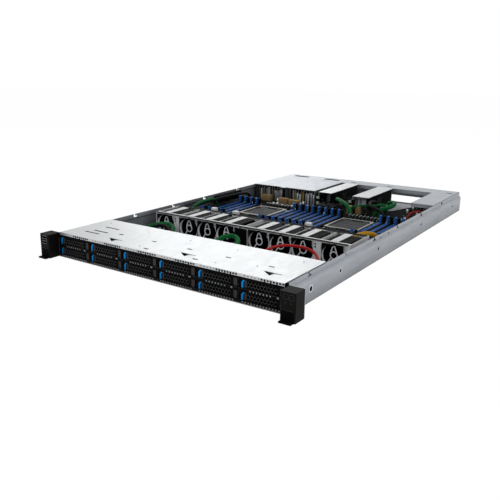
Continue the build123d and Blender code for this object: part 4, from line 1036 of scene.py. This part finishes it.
@dataclass
class BoardDress:
    """Chips, cans and small parts soldered to the main board.

    Sizes are the choices of width, depth and height in millimetres; a single number is always the same.
    """

    plugs: tuple[Pair, ...] = ((-150, 338), (-97, 338), (66, 338))
    plug: Point = (11 * MM, 11 * MM, 26 * MM)
    plug_round: float = 1.0 * MM
    chip_round: float = 0.15 * MM
    can_foot: float = 2.3 * MM
    can_crimp: float = 0.8 * MM
    can_radius: float = 2.5 * MM
    can_shoulder: float = 0.4 * MM
    can_top: float = 2.2 * MM
    can_sides: int = 12
    seed: int = 11
    chip_share: float = 0.16
    can_share: float = 0.26
    chip_sizes: tuple = ((6, 8, 10, 14), (5, 6, 10, 12), (1.2, 1.8))
    can_sizes: tuple = (5, 5, (5, 7, 9))
    bit_sizes: tuple = ((1.2, 2.2, 3.2), (0.9, 1.6, 2.4), (0.7, 1.1, 1.6))
    bit_finishes: tuple[Finish, ...] = (CHIP, CHIP, NICKEL, CHIP, YELLOW_TAPE, CHIP, WHITE_NYLON)
    area_per_part: float = 75
    room: float = 1.0 * MM
    areas: tuple[Rectangle, ...] = (
        (-205, 296, 205, 344), (-205, 497, 205, 583), (-44, 600, 128, 640), (138, 590, 208, 755),
        (-46, 585, 130, 600),
    )

    def taken(self) -> list[Rectangle]:
        """Places on the board that the CAD's own parts stand on, in metres."""
        names = ("board_parts", "board_connectors", "riser_brackets", "cable_looms", "cpu_sockets")
        return [spot for name in names for spot in islands(node_mesh(name))]

    def build(self) -> None:
        """Scatters the small parts over the free areas, always in the same places."""
        chance = random.Random(self.seed)
        taken = self.taken()
        chips, cans, bits = MeshDraft(), MeshDraft(), MeshDraft()
        for x, y in self.plugs:
            taken.append(self.stand(bits, (x * MM, y * MM), self.plug, PALE_PLASTIC, self.plug_round))
        for low_x, low_y, high_x, high_y in self.areas:
            for _ in range(int((high_x - low_x) * (high_y - low_y) / self.area_per_part)):
                kind = chance.random()
                chip, can = kind < self.chip_share, self.chip_share <= kind < self.can_share
                sizes = self.chip_sizes if chip else self.can_sizes if can else self.bit_sizes
                size = [(chance.choice(each) if isinstance(each, tuple) else each) * MM for each in sizes]
                place = [chance.uniform(low_x, high_x) * MM, chance.uniform(low_y, high_y) * MM]
                spot = ground(*place, size[0] + self.room, size[1] + self.room)
                if any(meets(spot, other) for other in taken):
                    continue
                taken.append(spot)
                if chip:
                    self.stand(chips, place, size, CHIP, self.chip_round)
                elif can:
                    self.can(cans, place, size[2])
                else:
                    self.stand(bits, place, size, chance.choice(self.bit_finishes))
        chips.finish("board_chips", "black_plastic")
        cans.finish("board_cans", "heatsink")
        bits.finish("board_bits", "connector")

    @staticmethod
    def stand(draft: MeshDraft, place: Point, size: Point, finish: Finish, soften: float = 0.0) -> Rectangle:
        """Stands a block on the board.

        Args:
            draft: The mesh that takes it.
            place: X and y of its middle.
            size: Its width, depth and height over the board.
            finish: The block's finish.
            soften: Width of the edge rounding.

        Returns:
            The ground that it takes.
        """
        spot = ground(*place, *size[:2])
        tall = (BOARD_TOP - SUNK, BOARD_TOP + size[2])
        draft.block((spot[0], spot[2]), (spot[1], spot[3]), tall, finish, soften)
        return spot

    def can(self, draft: MeshDraft, place: Point, height: float) -> None:
        """Stands a round can with a crimped foot and a rounded top on the board.

        Args:
            draft: The mesh that takes it.
            place: X and y of its middle.
            height: Its height from the foot.
        """
        side = ((self.can_radius, self.can_crimp), (self.can_radius, height - self.can_shoulder))
        profile = ((0, 0), (self.can_foot, 0), *side, (self.can_top, height), (0, height))
        draft.turned((*place, BOARD_TOP - SUNK), UP, profile, CAN, self.can_sides)


@dataclass
class SupplyDress:
    """What shows through the front bars of a power supply; its parts' spans are in millimetres."""

    clear: float = 2.2 * MM
    floor: float = 0.9 * MM
    ceiling: float = 3 * MM
    side: float = 2 * MM
    board: Pair = (26 * MM, 27.6 * MM)
    seed: int = 20
    cans: int = 9
    coils: tuple[int, int] = (1, 4)
    start: float = 8
    step: float = 7.1
    ahead: Pair = (5, 12)
    radii: Pair = (2.6, 3.0)
    lower: Pair = (2, 10)
    shoulder: Pair = (0.6 * MM, 1 * MM)
    can_setback: float = 3 * MM
    can_sides: int = 14
    coil_half: float = 2.2 * MM
    coil_depth: float = 9 * MM
    coil_drop: float = 2 * MM
    coil_round: float = 0.4 * MM
    wires: int = 3
    wire_start: float = 18
    wire_step: float = 19
    wire: tuple[Pair, ...] = ((0, 5), (3, 7), (-4, -1.5))
    wire_round: float = 0.5

    def build(self) -> None:
        """Fills the front of each supply with cans, coils and wires."""
        for number in (1, 2):
            node = f"power_supply_{number}"
            low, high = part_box(node)
            draft = MeshDraft()
            chance = random.Random(self.seed + number)
            front, floor, top = low.y + self.clear, low.z + self.floor, high.z - self.ceiling
            deep = [front + end for end in self.board]
            draft.block((low.x + self.side, high.x - self.side), deep, (floor, top), BOARD)
            for i in range(self.cans):
                x = low.x + (self.start + self.step * i) * MM
                y = front + chance.uniform(*self.ahead) * MM
                radius = chance.choice(self.radii) * MM
                height = top - floor - chance.uniform(*self.lower) * MM
                if i in self.coils:
                    coil = (x - self.coil_half, x + self.coil_half), (y, y + self.coil_depth)
                    draft.block(*coil, (floor, top - self.coil_drop), YELLOW_TAPE, self.coil_round)
                    continue
                inward, drop = self.shoulder
                edge = ((radius, 0), (radius, height - drop), (radius - inward, height))
                profile = ((0, 0), *edge, (0, height))
                place, finish = (x, y + self.can_setback, floor), CAN if i % 3 else PALE_PLASTIC
                draft.turned(place, UP, profile, finish, self.can_sides)
            for i in range(self.wires):
                x = low.x + (self.wire_start + self.wire_step * i) * MM
                draft.part((x, front, top), self.wire, RED_SLEEVE, self.wire_round)
            draft.finish(f"supply_parts_{number}", "heatsink", node)


@dataclass
class Screws:
    """Rivets, rings round holes and hook slots on both side walls, places in millimetres; holes and slots are
    black painted shade.

    A stud is its y, its z, and its hole's and its ring's radius; a hook slot is its y, z and radius.
    """

    wall: float = 218.55
    flange: float = 215.35
    rivets: Point = (613, 685, 756)
    rivet_height: float = 17
    rivet: tuple[Pair, ...] = ((0, 0), (1.9, 0), (1.9, 0.22), (1.33, 0.4675), (0, 0.55))
    small_sides: int = 12
    stud_sides: int = 20
    studs: tuple[Point, ...] = (
        (57.5, 18.9, 3.9, 6.0), (149.3, 20.5, 3.3, 4.6), (294.0, 20.8, 3.3, 3.9), (507.8, 20.5, 3.6, 4.1),
        (720.0, 20.5, 2.6, 3.0))
    hooks: tuple[Point, ...] = (
        (280.8, 37.5, 2.2), (308.0, 36.0, 1.3), (344.6, 36.0, 1.3), (516.0, 36.5, 2.2), (645.8, 38.0, 2.2))
    ring_rise: float = 0.8 * MM
    hole_shade_rise: float = 0.6 * MM
    hook_rise: float = 0.35 * MM

    def build(self) -> None:
        """Sets the same heads on the outside of both walls."""
        draft = MeshDraft()
        profile = [(radius * MM, height * MM) for radius, height in self.rivet]
        for side in SIDES:
            way = Vector((side, 0, 0))
            for y in self.rivets:
                place = Vector((side * self.wall, y, self.rivet_height)) * MM
                draft.turned(place - way * SUNK, way, profile, SCREW_STEEL, self.small_sides)
            for y, z, inner, outer in self.studs:
                place, radii = Vector((side * self.wall, y, z)) * MM, (inner * MM, outer * MM)
                draft.ring(place, way, radii, self.ring_rise, CAN, self.stud_sides)
                # Painted shade: a black disc in the ring stands for the dark inside of the hole
                draft.disc(place, way, inner * MM, self.hole_shade_rise, BLACK_PLASTIC, self.stud_sides)
            for y, z, radius in self.hooks:
                place = Vector((side * self.flange, y, z)) * MM
                # Painted shade: a black disc stands for the dark inside of the hook slot
                draft.disc(place, way, radius * MM, self.hook_rise, BLACK_PLASTIC, self.small_sides)
        draft.finish("wall_rivets", "steel")


@dataclass
class Studio:
    """Camera, floor, lamps and background; each lamp is its name, place, target, side and power."""

    camera_place: tuple[float, float, float] = (0.5671, -0.6286, 0.2920)
    yaw: float = -35.73
    pitch: float = -15.38
    roll: float = 0.36
    lens: float = 43.29
    shift: Pair = (0.0541, -0.0158)
    sensor: float = 36
    clip: Pair = (0.02, 60)
    floor_reach: float = 12.0
    floor_white: float = 0.9
    floor_glow: float = 1.08
    ambient: float = 0.22
    lamps: tuple[tuple[str, Point, Point, float, float], ...] = (
        ("key_softbox", (1.0, -0.1, 1.7), (0.1, 0.1, 0), 1.1, 8),
        ("back_softbox", (-1.2, 1.9, 0.9), (0, 0.4, 0), 1.1, 6),
        ("front_softbox", (0.6, -1.7, 1.0), (0.1, 0.2, 0), 1.0, 9),
    )

    def build(self) -> None:
        """Sets everything that isn't part of the object."""
        self.camera()
        self.floor()
        self.world()
        for lamp in self.lamps:
            self.lamp(*lamp)

    def camera(self) -> None:
        """Puts the camera where the photograph was taken from."""
        data = bpy.data.cameras.new("photo_camera")
        data.lens, data.sensor_width = self.lens, self.sensor
        data.shift_x, data.shift_y = self.shift
        data.clip_start, data.clip_end = self.clip
        yaw, pitch, roll = (math.radians(a) for a in (self.yaw, self.pitch, self.roll))
        ahead = Vector((math.sin(yaw) * math.cos(pitch), math.cos(yaw) * math.cos(pitch), math.sin(pitch)))
        right = Vector((math.cos(yaw), -math.sin(yaw), 0))
        up = right.cross(ahead)
        level_right = right * math.cos(roll) + up * math.sin(roll)
        level_up = up * math.cos(roll) - right * math.sin(roll)
        turn = Matrix((level_right, level_up, -ahead)).transposed()
        camera = bpy.data.objects.new("photo_camera", data)
        camera.matrix_world = Matrix.Translation(self.camera_place) @ turn.to_4x4()
        bpy.context.scene.collection.objects.link(camera)
        bpy.context.scene.camera = camera

    @staticmethod
    def seen(tree: Tree) -> Socket:
        """Tells the rays that look at the background, straight or by a mirror or glass.

        Args:
            tree: The node tree that asks.

        Returns:
            One for such rays, zero for the others.
        """
        rays = add_node(tree, "ShaderNodeLightPath").outputs
        first = add_node(tree, "ShaderNodeMath", {
            0: rays["Is Camera Ray"], 1: rays["Is Glossy Ray"]}, operation="MAXIMUM")
        both = add_node(tree, "ShaderNodeMath", {
            0: first.outputs[0], 1: rays["Is Transmission Ray"]}, operation="MAXIMUM")
        return both.outputs[0]

    def floor(self) -> None:
        """A wide pale floor that keeps a soft shadow near the object and goes white far off."""
        square = ((-1, -1), (1, -1), (1, 1), (-1, 1))
        corners = [(x * self.floor_reach, y * self.floor_reach, 0) for x, y in square]
        mesh = bpy.data.meshes.new("studio_floor")
        mesh.from_pydata(corners, [], [(0, 1, 2, 3)])
        floor = bpy.data.objects.new("studio_floor", mesh)
        bpy.context.scene.collection.objects.link(floor)
        material = bpy.data.materials.new("studio_floor")
        material.use_nodes = True
        tree = material.node_tree
        tree.nodes.remove(tree.nodes["Principled BSDF"])
        matt = add_node(tree, "ShaderNodeBsdfDiffuse", {"Color": linear("#f2f2f2")})
        white = add_node(tree, "ShaderNodeEmission", {"Color": (1, 1, 1, 1), "Strength": self.floor_glow})
        share = add_node(tree, "ShaderNodeMath", {
            0: self.seen(tree), 1: self.floor_white}, operation="MULTIPLY")
        mixed = add_node(tree, "ShaderNodeMixShader", {
            0: share.outputs[0], 1: matt.outputs[0], 2: white.outputs[0]})
        tree.links.new(mixed.outputs[0], tree.nodes["Material Output"].inputs["Surface"])
        mesh.materials.append(material)

    def world(self) -> None:
        """A plain light all round, seen as white."""
        world = bpy.data.worlds.new("studio")
        world.use_nodes = True
        bpy.context.scene.world = world
        tree = world.node_tree
        strength = add_node(tree, "ShaderNodeMapRange", {
            "Value": self.seen(tree), "To Min": self.ambient, "To Max": 1.0})
        tree.links.new(strength.outputs["Result"], tree.nodes["Background"].inputs["Strength"])
        tree.nodes["Background"].inputs["Color"].default_value = (1, 1, 1, 1)

    def lamp(self, name: str, place: Point, target: Point, size: float, power: float) -> None:
        """Hangs one soft square lamp.

        Args:
            name: The lamp's name.
            place: Where it hangs.
            target: What it points at.
            size: Its side in metres.
            power: Its power in watts.
        """
        data = bpy.data.lights.new(name, "AREA")
        data.size, data.energy = size, power
        lamp = bpy.data.objects.new(name, data)
        lamp.location = place
        lamp.rotation_mode = "QUATERNION"
        lamp.rotation_quaternion = (Vector(target) - Vector(place)).to_track_quat("-Z", "Y")
        bpy.context.scene.collection.objects.link(lamp)


def finish_nodes() -> None:
    """Gives every CAD node that stays in view its own finish."""
    for name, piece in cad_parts.items():
        chosen = next((finish for stem, finish in NODE_FINISHES.items() if name.startswith(stem)), ZINC_INNER)
        piece.data.materials.clear()
        piece.data.materials.append(chosen.material())
        log.info("finish %s on %s", chosen.name, name)


ASSEMBLIES = (
    DriveHandles, StripTrim, LipShade, CoverTabs, SocketDress, EarPorts, EarLines, FanOpeningShade, FanStrips,
    RiserCards, Looms, BoardDress, SupplyDress, Screws, Studio,
)


def main() -> None:
    """Builds the looks in order, piece by piece."""
    logging.basicConfig(level=logging.INFO, format="%(message)s")
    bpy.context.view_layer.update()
    bpy.context.scene.view_settings.view_transform = "Standard"
    finish_nodes()
    for assembly in ASSEMBLIES:
        assembly().build()


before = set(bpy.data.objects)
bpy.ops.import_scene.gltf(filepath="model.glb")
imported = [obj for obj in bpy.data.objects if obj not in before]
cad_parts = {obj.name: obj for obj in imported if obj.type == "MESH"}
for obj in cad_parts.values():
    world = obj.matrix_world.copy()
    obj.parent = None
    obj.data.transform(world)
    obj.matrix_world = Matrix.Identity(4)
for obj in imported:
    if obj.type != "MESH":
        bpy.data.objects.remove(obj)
if __name__ == "__main__":
    main()
